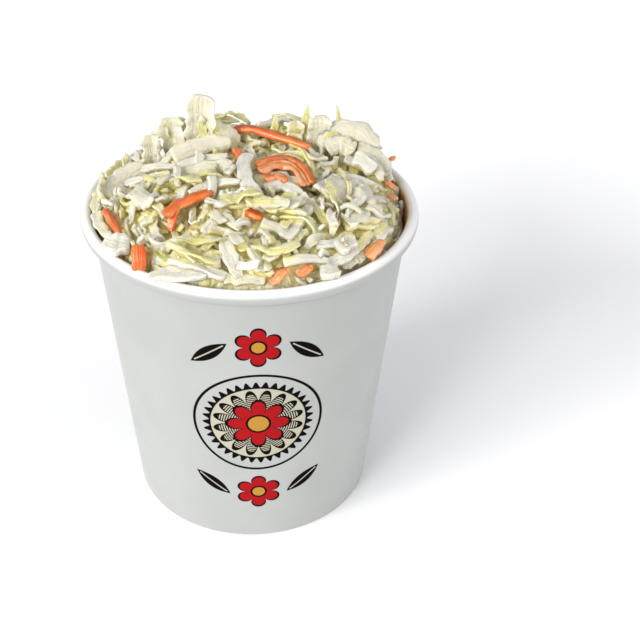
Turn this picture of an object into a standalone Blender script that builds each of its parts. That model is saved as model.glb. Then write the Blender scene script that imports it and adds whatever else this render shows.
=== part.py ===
"""Coleslaw heaped in a round paper food cup.

The sizes below are in millimetres, and the meshes are made in metres. +Z is up.
The origin is the centre of the foot, on the surface that the cup stands on.

cup_wall   one strip of paperboard, turned round the axis: it is folded in and up at the
           foot, and rolled outwards into an open bead at the lip
cup_base   the disc that the food rests on, with its edge turned down into the folded foot
coleslaw   the filling: a mound of laid strips, lower on one side, that rises over the lip
"""

import math

import bmesh
import bpy
import numpy as np
from mathutils import Vector

MM = 0.001

# The cup
CUP_HEIGHT = 99.0
LIP_RADIUS = 49.0
FOOT_RADIUS = 37.5
LIP_WIDTH = 3.5
LIP_TALL = 4.5
LIP_CURL_DEGREES = 288.0
BOARD = 0.5
GAP = 0.3
FOLD_HEIGHT = 7.0
BASE_LEVEL = 9.0
SKIRT_FOOT = 1.2
BEND = 0.35
SEGMENTS = 56

# The heap: its edge's level against the lip (its mean, what one side gains over the other,
# and what both sides have under the front and back), and the mound that stands on it
EDGE_MEAN = -1.0
EDGE_TO_LEFT = 1.4
EDGE_AT_SIDES = -3.0
MOUND_HEIGHT = 10.8
MOUND_CENTRE = (3.5, 3.0)
MOUND_POWER = 1.1
FILL_GAP = 0.7

# Lumps on the mound, each as x, y, height and spread
LUMPS = (
    (-14.0, 17.0, 5.0, 7.5),
    (-24.0, 15.0, 4.0, 5.5),
    (29.0, 18.0, 6.5, 8.5),
    (15.0, 20.0, 2.5, 7.0),
    (40.0, 8.0, 3.5, 7.0),
    (-2.0, -12.0, 1.5, 9.0),
    (-28.0, -22.0, 2.5, 7.0),
    (20.0, -18.0, 2.0, 8.0),
    (-38.0, 8.0, -2.0, 8.0),
)

# Strips that stand out of the mound or lie on the lip:
# x, y, lift over the mound, heading, tilt (both in degrees), length and bend of the strip
TALL_STRIPS = (
    (-12.0, 15.0, 2.5, 75.0, 50.0, 17.0, 35.0),
    (-16.0, 16.0, 2.5, 80.0, 50.0, 15.0, 30.0),
    (-16.5, 18.0, 2.5, 165.0, 15.0, 15.0, 60.0),
    (-24.0, 16.0, 1.0, 75.0, 40.0, 11.0, 20.0),
    (15.5, 20.0, 2.0, 30.0, 42.0, 14.0, 20.0),
    (25.5, 20.0, 1.5, 60.0, 45.0, 13.0, 30.0),
    (30.0, 15.0, 2.5, -20.0, 15.0, 22.0, 110.0),
    (38.5, 13.0, 1.5, 20.0, 12.0, 14.0, 30.0),
    (-36.5, -25.5, 2.5, 20.0, 4.0, 12.0, 10.0),
    (-23.0, -36.5, 2.8, -35.0, 2.0, 17.0, 10.0),
    (8.0, -38.5, 1.6, 20.0, 4.0, 14.0, 25.0),
    (22.0, -34.0, 1.6, 40.0, 4.0, 13.0, 15.0),
    (33.0, -27.0, 2.6, 55.0, 8.0, 14.0, 30.0),
    (-39.5, -8.0, 2.0, 80.0, 10.0, 12.0, 20.0),
)
LAID_STRIPS = 74
LAID_RADIUS = 41.0
STRIP_WIDTH = 4.8
STRIP_THICK = 2.5
STRIP_STEPS = 6
SEED = 11

# The filling's surface
CORE_RINGS = 22
VOXEL = 0.8
FILLING_TRIANGLES = 4350

GOLDEN_ANGLE = math.pi * (3.0 - math.sqrt(5.0))


def clear_objects():
    """Remove every object of the open scene."""
    for found in list(bpy.data.objects):
        bpy.data.objects.remove(found, do_unlink=True)


def material(name, colour, roughness, metallic=0.0):
    """A Principled material of one colour."""
    made = bpy.data.materials.new(name)
    made.use_nodes = True
    shader = made.node_tree.nodes["Principled BSDF"]
    shader.inputs["Base Color"].default_value = (*colour, 1.0)
    shader.inputs["Roughness"].default_value = roughness
    shader.inputs["Metallic"].default_value = metallic
    made.diffuse_color = (*colour, 1.0)
    return made


def add_object(name, mesh, finish):
    """Link a mesh as a named object with its material."""
    made = bpy.data.objects.new(name, mesh)
    mesh.materials.append(finish)
    bpy.context.scene.collection.objects.link(made)
    return made


def shade(mesh, sharp_degrees):
    """Smooth shading that keeps the edges sharper than an angle."""
    mesh.shade_smooth()
    mesh.set_sharp_from_angle(angle=math.radians(sharp_degrees))


# --- Paperboard: a centre line given as (radius, z), a thickness, and a turn round the axis


def arc(centre, radii, start, end, steps):
    """Points on an ellipse's arc, the angles in degrees."""
    angles = np.radians(np.linspace(start, end, steps + 1))
    across, tall = radii
    return np.column_stack(
        (centre[0] + across * np.cos(angles), centre[1] + tall * np.sin(angles))
    )


def thick_outline(line, thickness, ends=None):
    """The closed outline of a line with thickness, from the normals of its points.

    ends gives the two directions that the line has at its ends, where they aren't
    those of its first and last stretch.
    """
    line = np.asarray(line, dtype=float)
    runs = np.diff(line, axis=0)
    runs /= np.linalg.norm(runs, axis=1)[:, None]
    first, last = ends if ends else (runs[0], runs[-1])
    before = np.vstack((first, runs))
    after = np.vstack((runs, last))
    normals = np.column_stack((-(before + after)[:, 1], (before + after)[:, 0]))
    normals /= np.linalg.norm(normals, axis=1)[:, None]
    half_corner = np.sqrt((1.0 + (before * after).sum(axis=1)) / 2.0)
    offset = normals * (thickness / 2.0 / half_corner)[:, None]
    return np.vstack((line + offset, (line - offset)[::-1]))


def turned(name, outline, finish, sharp_degrees=35.0):
    """Turn a closed (radius, z) outline round the Z axis. Points on the axis are poles."""
    bm = bmesh.new()
    rings = []
    for radius, level in outline * MM:
        if radius < 1e-7:
            rings.append([bm.verts.new((0.0, 0.0, level))])
            continue
        turn = [2.0 * math.pi * k / SEGMENTS for k in range(SEGMENTS)]
        rings.append(
            [bm.verts.new((radius * math.cos(a), radius * math.sin(a), level)) for a in turn]
        )
    for here, there in zip(rings, rings[1:] + rings[:1]):
        if len(here) == 1 and len(there) == 1:
            continue
        for k in range(SEGMENTS):
            corners = [here[k % len(here)], here[(k + 1) % len(here)]]
            corners += [there[(k + 1) % len(there)], there[k % len(there)]]
            unique = list(dict.fromkeys(corners))
            bm.faces.new(unique)
    bmesh.ops.recalc_face_normals(bm, faces=bm.faces)
    mesh = bpy.data.meshes.new(name)
    bm.to_mesh(mesh)
    bm.free()
    shade(mesh, sharp_degrees)
    return add_object(name, mesh, finish)


LIP_CENTRE = (LIP_RADIUS - LIP_WIDTH / 2.0, CUP_HEIGHT - LIP_TALL / 2.0)
CURL_RADII = ((LIP_WIDTH - BOARD) / 2.0, (LIP_TALL - BOARD) / 2.0)
WALL_TOP = LIP_CENTRE[0] - CURL_RADII[0]
WALL_FOOT = FOOT_RADIUS - BOARD / 2.0
LEAN = (WALL_TOP - WALL_FOOT) / LIP_CENTRE[1]
FOLD_DEPTH = BOARD + GAP + BOARD + GAP


def wall_radius(z):
    """Radius of the wall's centre line at a level."""
    return WALL_FOOT + LEAN * z


def make_wall(finish):
    """The wall: up inside the foot, round the fold, up the side and over into the lip."""
    low = BOARD / 2.0
    bend = BEND
    inner = WALL_FOOT - FOLD_DEPTH
    line = [(inner + LEAN * FOLD_HEIGHT, FOLD_HEIGHT)]
    line += list(arc((inner + bend, low + bend), (bend, bend), 180.0, 270.0, 2))
    line += list(arc((WALL_FOOT - bend, low + bend), (bend, bend), 270.0, 360.0, 2))
    line += [(wall_radius(z), z) for z in (BASE_LEVEL, CUP_HEIGHT * 0.37, CUP_HEIGHT * 0.66)]
    curl = arc(LIP_CENTRE, CURL_RADII, 180.0, 180.0 - LIP_CURL_DEGREES, 11)
    return turned("cup_wall", thick_outline(np.vstack((line, curl)), BOARD), finish)


def make_base(finish):
    """The base: a flat disc with its edge turned down between the folded foot's two sides."""
    edge = BOARD + GAP
    corner = 3 * BEND
    level = BASE_LEVEL
    line = [(0.0, level)]
    bend_at = (wall_radius(level) - edge - corner, level - corner)
    line += list(arc(bend_at, (corner, corner), 90.0, 0.0, 3))
    line += [(wall_radius(SKIRT_FOOT) - edge, SKIRT_FOOT)]
    return turned("cup_base", thick_outline(line, BOARD), finish)


# --- Filling


def heap_level(x, y):
    """Level of the mound's surface over a place, before its strips are laid."""
    reach = wall_radius(CUP_HEIGHT) - BOARD / 2.0
    radius = np.hypot(x, y)
    side = x / np.maximum(radius, 1e-6)
    edge = EDGE_MEAN - EDGE_TO_LEFT * side + EDGE_AT_SIDES * side**2
    out = np.hypot(x - MOUND_CENTRE[0], y - MOUND_CENTRE[1]) / (reach + 4.0)
    level = CUP_HEIGHT + edge * (radius / reach) ** 2
    level += MOUND_HEIGHT * np.clip(1.0 - out**2, 0.0, 1.0) ** MOUND_POWER
    for lump_x, lump_y, height, spread in LUMPS:
        away = ((x - lump_x) ** 2 + (y - lump_y) ** 2) / spread**2
        level += height * np.exp(-away)
    return level


def inner_reach(z):
    """How far out the filling may go at a level inside the cup."""
    return wall_radius(z) - BOARD / 2.0 - FILL_GAP


def core_bmesh():
    """The mound without strips: rings over the top, down the wall and across the floor."""
    bm = bmesh.new()
    floor = BASE_LEVEL + BOARD / 2.0 + GAP
    turn = np.linspace(0.0, 2.0 * math.pi, SEGMENTS, endpoint=False)
    across, along = np.cos(turn), np.sin(turn)
    shares = np.linspace(0.0, 1.0, CORE_RINGS + 1)[1:]
    top = inner_reach(CUP_HEIGHT - 6.0)
    rings = []
    for share in shares:
        x, y = top * share * across, top * share * along
        rings.append(np.column_stack((x, y, heap_level(x, y))))
    for share in np.linspace(0.0, 1.0, 5)[1:]:
        level = rings[CORE_RINGS - 1][:, 2] * (1.0 - share) + floor * share
        reach = np.minimum(inner_reach(level), top)
        rings.append(np.column_stack((reach * across, reach * along, level)))
    grid = [[bm.verts.new(Vector(place) * MM) for place in ring] for ring in rings]
    summit = bm.verts.new((0.0, 0.0, float(heap_level(0.0, 0.0)) * MM))
    centre = bm.verts.new((0.0, 0.0, floor * MM))
    for k in range(SEGMENTS):
        after = (k + 1) % SEGMENTS
        bm.faces.new((summit, grid[0][k], grid[0][after]))
        bm.faces.new((centre, grid[-1][after], grid[-1][k]))
        for here, there in zip(grid, grid[1:]):
            bm.faces.new((here[k], there[k], there[after], here[after]))
    return bm


def add_strip(bm, place, heading, tilt, length, bend):
    """One cut strip: a bar with square ends, bent along its length.

    Its middle is at place. It points along heading (degrees, in plan), rises by tilt,
    and turns upwards or downwards by bend degrees from end to end.
    """
    share = np.linspace(-0.5, 0.5, STRIP_STEPS + 1)
    rise = np.radians(tilt - bend * (share + 0.5) + bend * 0.3)
    step = length / STRIP_STEPS
    out = np.concatenate(([0.0], np.cumsum(np.cos((rise[1:] + rise[:-1]) / 2.0)))) * step
    up = np.concatenate(([0.0], np.cumsum(np.sin((rise[1:] + rise[:-1]) / 2.0)))) * step
    middle = STRIP_STEPS // 2
    out, up = out - out[middle], up - up[middle]
    angle = math.radians(heading)
    forward = np.array((math.cos(angle), math.sin(angle), 0.0))
    aside = np.array((-math.sin(angle), math.cos(angle), 0.0))
    sky = np.array((0.0, 0.0, 1.0))
    loops = []
    for o, u, r in zip(out, up, rise):
        centre = np.array(place) + forward * o + sky * u
        thick = (sky * math.cos(r) - forward * math.sin(r)) * STRIP_THICK / 2.0
        wide = aside * STRIP_WIDTH / 2.0
        corners = (centre - wide - thick, centre + wide - thick)
        corners += (centre + wide + thick, centre - wide + thick)
        loops.append([bm.verts.new(Vector(c) * MM) for c in corners])
    for here, there in zip(loops, loops[1:]):
        for k in range(4):
            bm.faces.new((here[k], here[(k + 1) % 4], there[(k + 1) % 4], there[k]))
    bm.faces.new(loops[0][::-1])
    bm.faces.new(loops[-1])


def lay_strips(bm):
    """Lay strips over the mound on a golden-angle spiral, then set the tall ones."""
    rng = np.random.default_rng(SEED)
    for k in range(LAID_STRIPS):
        radius = LAID_RADIUS * math.sqrt((k + 0.5) / LAID_STRIPS)
        turn = k * GOLDEN_ANGLE
        x, y = radius * math.cos(turn), radius * math.sin(turn)
        outer = radius > LAID_RADIUS * 0.8
        heading = rng.uniform(0.0, 180.0)
        if outer:
            heading = math.degrees(turn) + 90.0 + rng.uniform(-30.0, 30.0)
        angle = math.radians(heading)
        near = 4.0 * np.array((math.cos(angle), math.sin(angle)))
        slope = heap_level(x + near[0], y + near[1]) - heap_level(x - near[0], y - near[1])
        tilt = math.degrees(math.atan2(float(slope), 8.0)) + rng.uniform(-14.0, 14.0)
        lift = rng.uniform(-0.4, 1.4)
        place = (x, y, float(heap_level(x, y)) + lift)
        length = rng.uniform(13.0, 21.0) * (0.8 if outer else 1.0)
        add_strip(bm, place, heading, tilt, length, rng.uniform(10.0, 60.0))
    for x, y, lift, heading, tilt, length, bend in TALL_STRIPS:
        place = (x, y, float(heap_level(x, y)) + lift)
        add_strip(bm, place, heading, tilt, length, bend)


def evaluated_mesh(holder):
    """The mesh that an object's modifiers give, as a mesh of its own."""
    depsgraph = bpy.context.evaluated_depsgraph_get()
    return bpy.data.meshes.new_from_object(holder.evaluated_get(depsgraph))


def keep_outer_shell(bm):
    """Delete all but the body that reaches furthest, so that no sealed pocket is left."""
    bm.verts.ensure_lookup_table()
    left = set(bm.verts)
    bodies = []
    while left:
        todo = [left.pop()]
        body = list(todo)
        while todo:
            for edge in todo.pop().link_edges:
                for vert in edge.verts:
                    if vert in left:
                        left.remove(vert)
                        todo.append(vert)
                        body.append(vert)
        bodies.append(body)
    bodies.sort(key=len)
    loose = [vert for body in bodies[:-1] for vert in body]
    bmesh.ops.delete(bm, geom=loose, context="VERTS")


def keep_clear_of_cup(bm):
    """Pull points in where they come nearer to the wall or the lip than the gap."""
    lip_top = CUP_HEIGHT + GAP
    lip_inside = LIP_RADIUS - LIP_WIDTH - FILL_GAP
    for vert in bm.verts:
        level = vert.co.z / MM
        radius = math.hypot(vert.co.x, vert.co.y) / MM
        reach = inner_reach(level) if level < LIP_CENTRE[1] else lip_inside
        if level > lip_top:
            reach = LIP_RADIUS - GAP
        if radius > reach:
            vert.co.x *= reach / radius
            vert.co.y *= reach / radius


def make_filling(finish):
    """Union of the mound and its strips: one closed solid, thinned to a set size."""
    bm = core_bmesh()
    lay_strips(bm)
    rough = bpy.data.meshes.new("coleslaw_rough")
    bm.to_mesh(rough)
    bm.free()
    holder = add_object("coleslaw_rough", rough, finish)
    joined = holder.modifiers.new("joined", "REMESH")
    joined.mode = "VOXEL"
    joined.voxel_size = VOXEL * MM
    joined.adaptivity = 0.0
    fine = evaluated_mesh(holder)
    bpy.data.objects.remove(holder, do_unlink=True)

    bm = bmesh.new()
    bm.from_mesh(fine)
    keep_outer_shell(bm)
    keep_clear_of_cup(bm)
    bm.to_mesh(fine)
    triangles = 2 * len(bm.faces)
    bm.free()

    holder = bpy.data.objects.new("coleslaw_fine", fine)
    bpy.context.scene.collection.objects.link(holder)
    thinned = holder.modifiers.new("thinned", "DECIMATE")
    thinned.ratio = FILLING_TRIANGLES / triangles
    mesh = evaluated_mesh(holder)
    bpy.data.objects.remove(holder, do_unlink=True)

    bm = bmesh.new()
    bm.from_mesh(mesh)
    bmesh.ops.triangulate(bm, faces=bm.faces)
    keep_clear_of_cup(bm)
    bmesh.ops.recalc_face_normals(bm, faces=bm.faces)
    bm.to_mesh(mesh)
    bm.free()
    mesh.name = "coleslaw"
    shade(mesh, 40.0)
    mesh.materials.clear()
    return add_object("coleslaw", mesh, finish)


def build():
    """Make the three sub-parts."""
    clear_objects()
    paper = material("white_paperboard", (0.80, 0.80, 0.79), 0.55)
    inner_paper = material("inner_paperboard", (0.74, 0.72, 0.66), 0.6)
    slaw = material("dressed_cabbage", (0.83, 0.77, 0.52), 0.38)
    make_wall(paper)
    make_base(inner_paper)
    make_filling(slaw)


build()
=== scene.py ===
# %% [markdown]
# # A paper cup heaped with coleslaw
#
# The object is a take-away cup of white paperboard, filled and heaped with shredded cabbage
# and a few shreds of carrot in a thin cream dressing. The packed CAD model already holds its
# sizes: the wall with its rolled lip, the base, and the heap as one solid. This script dresses
# that frame. The paper gets its fine forms, and the heap becomes several hundred real shreds,
# each with its own curl, thickness and cut ends, laid down by a small simulation.

# %% Load the frame
import math
from collections import namedtuple

import bpy
import numpy as np
from mathutils import Matrix, Vector
from mathutils.bvhtree import BVHTree


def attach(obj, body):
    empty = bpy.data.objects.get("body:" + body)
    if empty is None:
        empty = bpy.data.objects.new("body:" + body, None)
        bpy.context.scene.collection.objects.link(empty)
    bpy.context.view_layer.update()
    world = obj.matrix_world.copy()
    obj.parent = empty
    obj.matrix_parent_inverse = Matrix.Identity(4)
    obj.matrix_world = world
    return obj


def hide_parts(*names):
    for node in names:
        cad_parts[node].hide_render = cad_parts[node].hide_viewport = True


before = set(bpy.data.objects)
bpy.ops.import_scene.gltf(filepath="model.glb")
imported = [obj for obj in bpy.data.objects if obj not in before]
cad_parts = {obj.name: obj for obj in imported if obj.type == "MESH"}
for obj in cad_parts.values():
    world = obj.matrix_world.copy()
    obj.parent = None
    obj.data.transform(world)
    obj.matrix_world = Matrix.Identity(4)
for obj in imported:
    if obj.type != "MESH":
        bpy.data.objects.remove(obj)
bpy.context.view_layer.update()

print("nodes in the frame:", sorted(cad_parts))

# %% [markdown]
# ## Sizes that the frame gives
#
# All arrays below are in millimetres and become metres only when a mesh is written. A node's
# vertices give the cup's height, the radii of lip and foot and the level of its floor, so that
# nothing has to be fitted by eye. The board's thickness, the roll of the lip and the fold of the
# foot repeat the CAD's driving dimensions.

# %% Measure the nodes
MM = 0.001


def node_points(node):
    """A CAD node's vertices as rows of x, y, z in millimetres."""
    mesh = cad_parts[node].data
    flat = np.empty(len(mesh.vertices) * 3)
    mesh.vertices.foreach_get("co", flat)
    return flat.reshape(-1, 3) / MM


wall_points = node_points("cup_wall")
wall_radii = np.hypot(wall_points[:, 0], wall_points[:, 1])
CUP_HEIGHT = float(np.round(wall_points[:, 2].max()))
LIP_RADIUS = float(wall_radii.max())
FOOT_RADIUS = float(wall_radii[wall_points[:, 2] < 1.0].max())
FLOOR_LEVEL = float(node_points("cup_base")[:, 2].max())
FILLING_LOW = float(node_points("coleslaw")[:, 2].min())

BOARD = 0.5
LIP_WIDTH = 3.5
LIP_TALL = 4.5
LIP_CURL = 288.0
GLUE_GAP = 0.3
FOLD_HEIGHT = 7.0
BEND = 0.35

LIP_CENTRE = (LIP_RADIUS - LIP_WIDTH / 2, CUP_HEIGHT - LIP_TALL / 2)
CURL_RADII = ((LIP_WIDTH - BOARD) / 2, (LIP_TALL - BOARD) / 2)
WALL_FOOT = FOOT_RADIUS - BOARD / 2
LEAN = (LIP_CENTRE[0] - CURL_RADII[0] - WALL_FOOT) / LIP_CENTRE[1]


def wall_radius(z):
    """Radius of the wall's middle layer at a level: it grows evenly from foot to lip."""
    return WALL_FOOT + LEAN * z


def inner_radius(z):
    """Radius of the wall's inner face at a level."""
    return wall_radius(z) - BOARD / 2


print(f"cup {CUP_HEIGHT:.1f} mm high, radius of its lip {LIP_RADIUS:.1f} and foot {FOOT_RADIUS:.2f}")
print(f"floor at {FLOOR_LEVEL:.2f} mm, foot of the salad at {FILLING_LOW:.2f} mm")

# %% [markdown]
# ## From arrays to meshes
#
# A surface here is a function of two parameters, sampled on a grid of rows and columns. The
# faces of such a grid follow from its shape alone. One helper lists them, one turns arrays into
# a mesh and one checks by the signed volume that a closed shape faces outwards.

# %% Faces of a grid


def grid_faces(rows, columns, wrap_rows=False, wrap_columns=False):
    """Corner numbers of a grid's quads; a wrapped direction joins its last line to its first."""
    row, column = np.meshgrid(
        np.arange(rows if wrap_rows else rows - 1),
        np.arange(columns if wrap_columns else columns - 1),
        indexing="ij",
    )
    below, right = (row + 1) % rows, (column + 1) % columns
    corners = (row * columns + column, below * columns + column)
    corners += (below * columns + right, row * columns + right)
    return np.stack(corners, axis=-1).reshape(-1, 4)


print("quads of a ring of 4 rows and 6 columns:", len(grid_faces(4, 6, wrap_columns=True)))

# %% Volume of a closed mesh


def signed_volume(points, faces):
    """Sum of the cones from the origin to each face; negative when faces point inwards."""
    total = 0.0
    for group in faces:
        first = points[group[:, 0]]
        for k in range(1, group.shape[1] - 1):
            second, third = points[group[:, k]], points[group[:, k + 1]]
            total += (first * np.cross(second, third)).sum() / 6.0
    return total


unit_corner = np.vstack((np.zeros(3), np.eye(3)))
unit_faces = [np.array(((0, 2, 1), (0, 1, 3), (0, 3, 2), (1, 2, 3)))]
print("volume of a unit cube's corner:", round(signed_volume(unit_corner, unit_faces), 3))

# %% Make a piece


def make_piece(name, points, faces, finish, attributes=None, node=None):
    """A smooth mesh object from points in millimetres and lists of faces of one size each."""
    points = np.asarray(points, dtype=float).reshape(-1, 3)
    if signed_volume(points, faces) < 0.0:
        faces = [group[:, ::-1] for group in faces]
    corners = np.concatenate([group.ravel() for group in faces]).astype(np.int32)
    sizes = np.concatenate([np.full(len(group), group.shape[1]) for group in faces])
    mesh = bpy.data.meshes.new(name)
    mesh.vertices.add(len(points))
    mesh.vertices.foreach_set("co", (points * MM).ravel().astype(np.float32))
    mesh.loops.add(len(corners))
    mesh.loops.foreach_set("vertex_index", corners)
    mesh.polygons.add(len(sizes))
    mesh.polygons.foreach_set("loop_start", (np.cumsum(sizes) - sizes).astype(np.int32))
    mesh.update(calc_edges=True)
    mesh.shade_smooth()
    for label, values in (attributes or {}).items():
        layer = mesh.attributes.new(label, "FLOAT_VECTOR", "POINT")
        layer.data.foreach_set("vector", np.asarray(values, dtype=np.float32).ravel())
    mesh.materials.append(finish)
    piece = bpy.data.objects.new(name, mesh)
    bpy.context.scene.collection.objects.link(piece)
    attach(piece, "root")
    if node:
        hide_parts(node)
    triangles = sum(len(group) * (group.shape[1] - 2) for group in faces)
    print(f"{name}: {len(points)} points, {triangles} triangles")
    return piece


print("1 mm in a mesh is", MM, "m")

# %% [markdown]
# ## Camera
#
# The camera looks down at the cup by about 35 degrees from the front, with a short telephoto
# lens, and is rolled by a degree or two as a hand-held one is. Its matrix is built from yaw,
# pitch and roll, so that the framing stays easy to read.

# %% Place the camera
CAMERA_PLACE = Vector((0.0, -0.29134, 0.26336))
CAMERA_YAW, CAMERA_PITCH, CAMERA_ROLL = map(math.radians, (4.17, 35.37, 1.76))
CAMERA_LENS = 64.2

forward = Vector(
    (
        math.sin(CAMERA_YAW) * math.cos(CAMERA_PITCH),
        math.cos(CAMERA_YAW) * math.cos(CAMERA_PITCH),
        -math.sin(CAMERA_PITCH),
    )
)
level_right = Vector((math.cos(CAMERA_YAW), -math.sin(CAMERA_YAW), 0.0))
level_up = level_right.cross(forward)
rolled_right = level_right * math.cos(CAMERA_ROLL) + level_up * math.sin(CAMERA_ROLL)
rolled_up = level_up * math.cos(CAMERA_ROLL) - level_right * math.sin(CAMERA_ROLL)

lens = bpy.data.cameras.new("camera")
lens.lens = CAMERA_LENS
lens.sensor_width = 36.0
lens.clip_start = 0.01
camera = bpy.data.objects.new("camera", lens)
camera.matrix_world = Matrix(
    [
        (rolled_right[k], rolled_up[k], -forward[k], CAMERA_PLACE[k])
        for k in range(3)
    ]
    + [(0.0, 0.0, 0.0, 1.0)]
)
bpy.context.scene.collection.objects.link(camera)
bpy.context.scene.camera = camera
to_lip = CAMERA_PLACE - Vector((0.0, 0.0, CUP_HEIGHT * MM))
print("camera distance to the lip's centre:", round(to_lip.length, 3), "m")

# %% [markdown]
# ## Node helpers
#
# Every finish is a small network of nodes. A class with a few helpers keeps them short: they
# add a node and fill its inputs, do one step of arithmetic, mix two colours, map a range, and
# give noise or a bump.

# %% Networks of nodes


class Network:
    """The node network of one material, with its Principled shader."""

    def __init__(self, name):
        self.material = bpy.data.materials.new(name)
        self.material.use_nodes = True
        self.nodes = self.material.node_tree.nodes
        self.links = self.material.node_tree.links
        self.shader = self.nodes["Principled BSDF"]

    def feed(self, socket, value):
        """Link a socket to an input, or set the input to a plain value."""
        if isinstance(value, bpy.types.NodeSocket):
            self.links.new(value, socket)
        else:
            socket.default_value = value

    def add(self, kind, inputs=(), output=0, **settings):
        """Add a node; inputs maps its sockets to sockets or values. Returns one output."""
        made = self.nodes.new(kind)
        for label, value in settings.items():
            setattr(made, label, value)
        for key, value in dict(inputs).items():
            self.feed(made.inputs[key], value)
        return made.outputs[output]

    def math(self, operation, first, second=0.0, clamp=False):
        """One step of arithmetic on one or two values."""
        return self.add(
            "ShaderNodeMath", {0: first, 1: second}, operation=operation, use_clamp=clamp
        )

    def mix(self, share, first, second, blend="MIX"):
        """Mix two colours by a share."""
        made = self.nodes.new("ShaderNodeMix")
        made.data_type = "RGBA"
        made.blend_type = blend
        self.feed(made.inputs["Factor"], share)
        for key, value in (("A", first), ("B", second)):
            socket = next(s for s in made.inputs if s.name == key and s.type == "RGBA")
            self.feed(socket, value)
        return next(s for s in made.outputs if s.type == "RGBA")

    def parts(self, vector):
        """The three parts of a vector."""
        split = self.nodes.new("ShaderNodeSeparateXYZ")
        self.feed(split.inputs[0], vector)
        return split.outputs

    def range(self, value, low, high, to_low=0.0, to_high=1.0, smooth=True):
        """Map a value from one range to another, clamped, with soft ends."""
        made = {"Value": value, "From Min": low, "From Max": high}
        made.update({"To Min": to_low, "To Max": to_high})
        kind = "SMOOTHSTEP" if smooth else "LINEAR"
        return self.add("ShaderNodeMapRange", made, interpolation_type=kind)

    def noise(self, vector, scale, detail=2.0, roughness=0.5):
        """Soft noise, 0 to 1, at a scale in cells per unit of the vector."""
        inputs = {"Vector": vector, "Scale": scale, "Detail": detail, "Roughness": roughness}
        return self.add("ShaderNodeTexNoise", inputs, output="Fac")

    def bump(self, height, strength, distance, normal=None):
        """A bump of a height in metres, on top of another bump if there is one."""
        inputs = {"Height": height, "Strength": strength, "Distance": distance}
        if normal is not None:
            inputs["Normal"] = normal
        return self.add("ShaderNodeBump", inputs)

    def finish(self, **sockets):
        """Feed the Principled shader's sockets, named with underscores."""
        for label, value in sockets.items():
            self.feed(self.shader.inputs[label.replace("_", " ").title()], value)
        return self.material


print("helpers of a network:", [name for name in vars(Network) if not name.startswith("_")])

# %% Colours


def srgb(red, green, blue):
    """A colour given in 0 to 255 display values, as the linear values that nodes use."""
    display = np.array((red, green, blue)) / 255.0
    linear = np.where(display <= 0.04045, display / 12.92, ((display + 0.055) / 1.055) ** 2.4)
    return (*linear.tolist(), 1.0)


print("middle grey, display 119, is", round(srgb(119, 119, 119)[0], 3), "as a linear value")

# %% [markdown]
# ## Printed paperboard
#
# The cup's board is bleached and thinly coated: near white, satin, with a very faint tooth.
# Its front carries a printed ornament in black, red and yellow. The print could be a picture on
# a UV map, but flowers and leaves are simple to write as arithmetic on two distances, one round
# the cup and one up its side, and they stay sharp at any size. The distance round the cup uses
# the cone's radius at each level, so that circles stay round. The top of the lip's roll is painted
# near white, a painted highlight. Inside, the paper is tinted brown up to just under the lip and
# more on the right: partly a dressing stain, partly painted shade of the gap between salad and wall.

# %% Distances and outlines of the ornament
PRINT_LEVEL = 0.0495
PRINT_TURN = math.radians(2.0)
ROSETTE = 0.0192
FLOWER = 0.0070
FLOWER_UP = 0.0290
LEAF = (0.0137, 0.0262, 0.0066, 0.0022, math.radians(38.0))
INK_BLACK = srgb(19, 16, 16)
INK_RED = srgb(156, 26, 30)
INK_YELLOW = srgb(172, 122, 24)
INK_CREAM = srgb(172, 168, 148)


def below(net, value, limit, soft=0.00008):
    """1 where a value is below a limit, with an edge a fraction of a millimetre soft."""
    return net.range(net.math("SUBTRACT", value, limit), -soft, soft, 1.0, 0.0, smooth=False)


def band(net, value, low, high):
    """1 where a value lies between two limits."""
    return net.math("SUBTRACT", below(net, value, high), below(net, value, low), clamp=True)


def polar(net, across, up):
    """Distance and angle of a place from the origin."""
    squares = [net.math("MULTIPLY", side, side) for side in (across, up)]
    return net.math("SQRT", net.math("ADD", *squares)), net.math("ARCTAN2", up, across)


def petals(net, angle, count, inner, outer, turn=0.0):
    """Radius of a flower's outline at an angle: it swings between two radii, count times."""
    swing = net.math("ADD", net.math("MULTIPLY", angle, count / 2.0), turn)
    lobe = net.math("POWER", net.math("ABSOLUTE", net.math("COSINE", swing)), 0.55)
    return net.math("ADD", net.math("MULTIPLY", lobe, outer - inner), inner)


print("rosette", ROSETTE * 2 / MM, "mm across, centre", PRINT_LEVEL / MM, "mm over the table")

# %% Flowers and leaves


def rosette(net, reach, angle):
    """The large flower: a toothed ring, hatched leaves, red petals and a yellow eye."""
    rays = net.math("SINE", net.math("MULTIPLY", angle, 36.0))
    teeth = net.math("ADD", net.math("MULTIPLY", rays, ROSETTE * 0.05), ROSETTE * 0.80)
    leaf, vein = (petals(net, angle, 16, ROSETTE * a, ROSETTE * b, math.pi / 2)
                  for a, b in ((0.40, 0.69), (0.36, 0.62)))
    hatch = net.math("GREATER_THAN", net.math("SINE", net.math("MULTIPLY", reach, 9000.0)), 0.1)
    return [
        (band(net, reach, ROSETTE * 0.955, ROSETTE), INK_BLACK),
        (below(net, reach, teeth), INK_BLACK),
        (below(net, reach, ROSETTE * 0.72), INK_CREAM),
        (below(net, reach, leaf), INK_BLACK),
        (net.math("MULTIPLY", below(net, reach, vein), hatch), INK_CREAM),
        (below(net, reach, petals(net, angle, 8, ROSETTE * 0.26, ROSETTE * 0.50)), INK_BLACK),
        (below(net, reach, petals(net, angle, 8, ROSETTE * 0.20, ROSETTE * 0.455)), INK_RED),
        (below(net, reach, ROSETTE * 0.19), INK_BLACK),
        (below(net, reach, ROSETTE * 0.155), INK_YELLOW),
    ]


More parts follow.
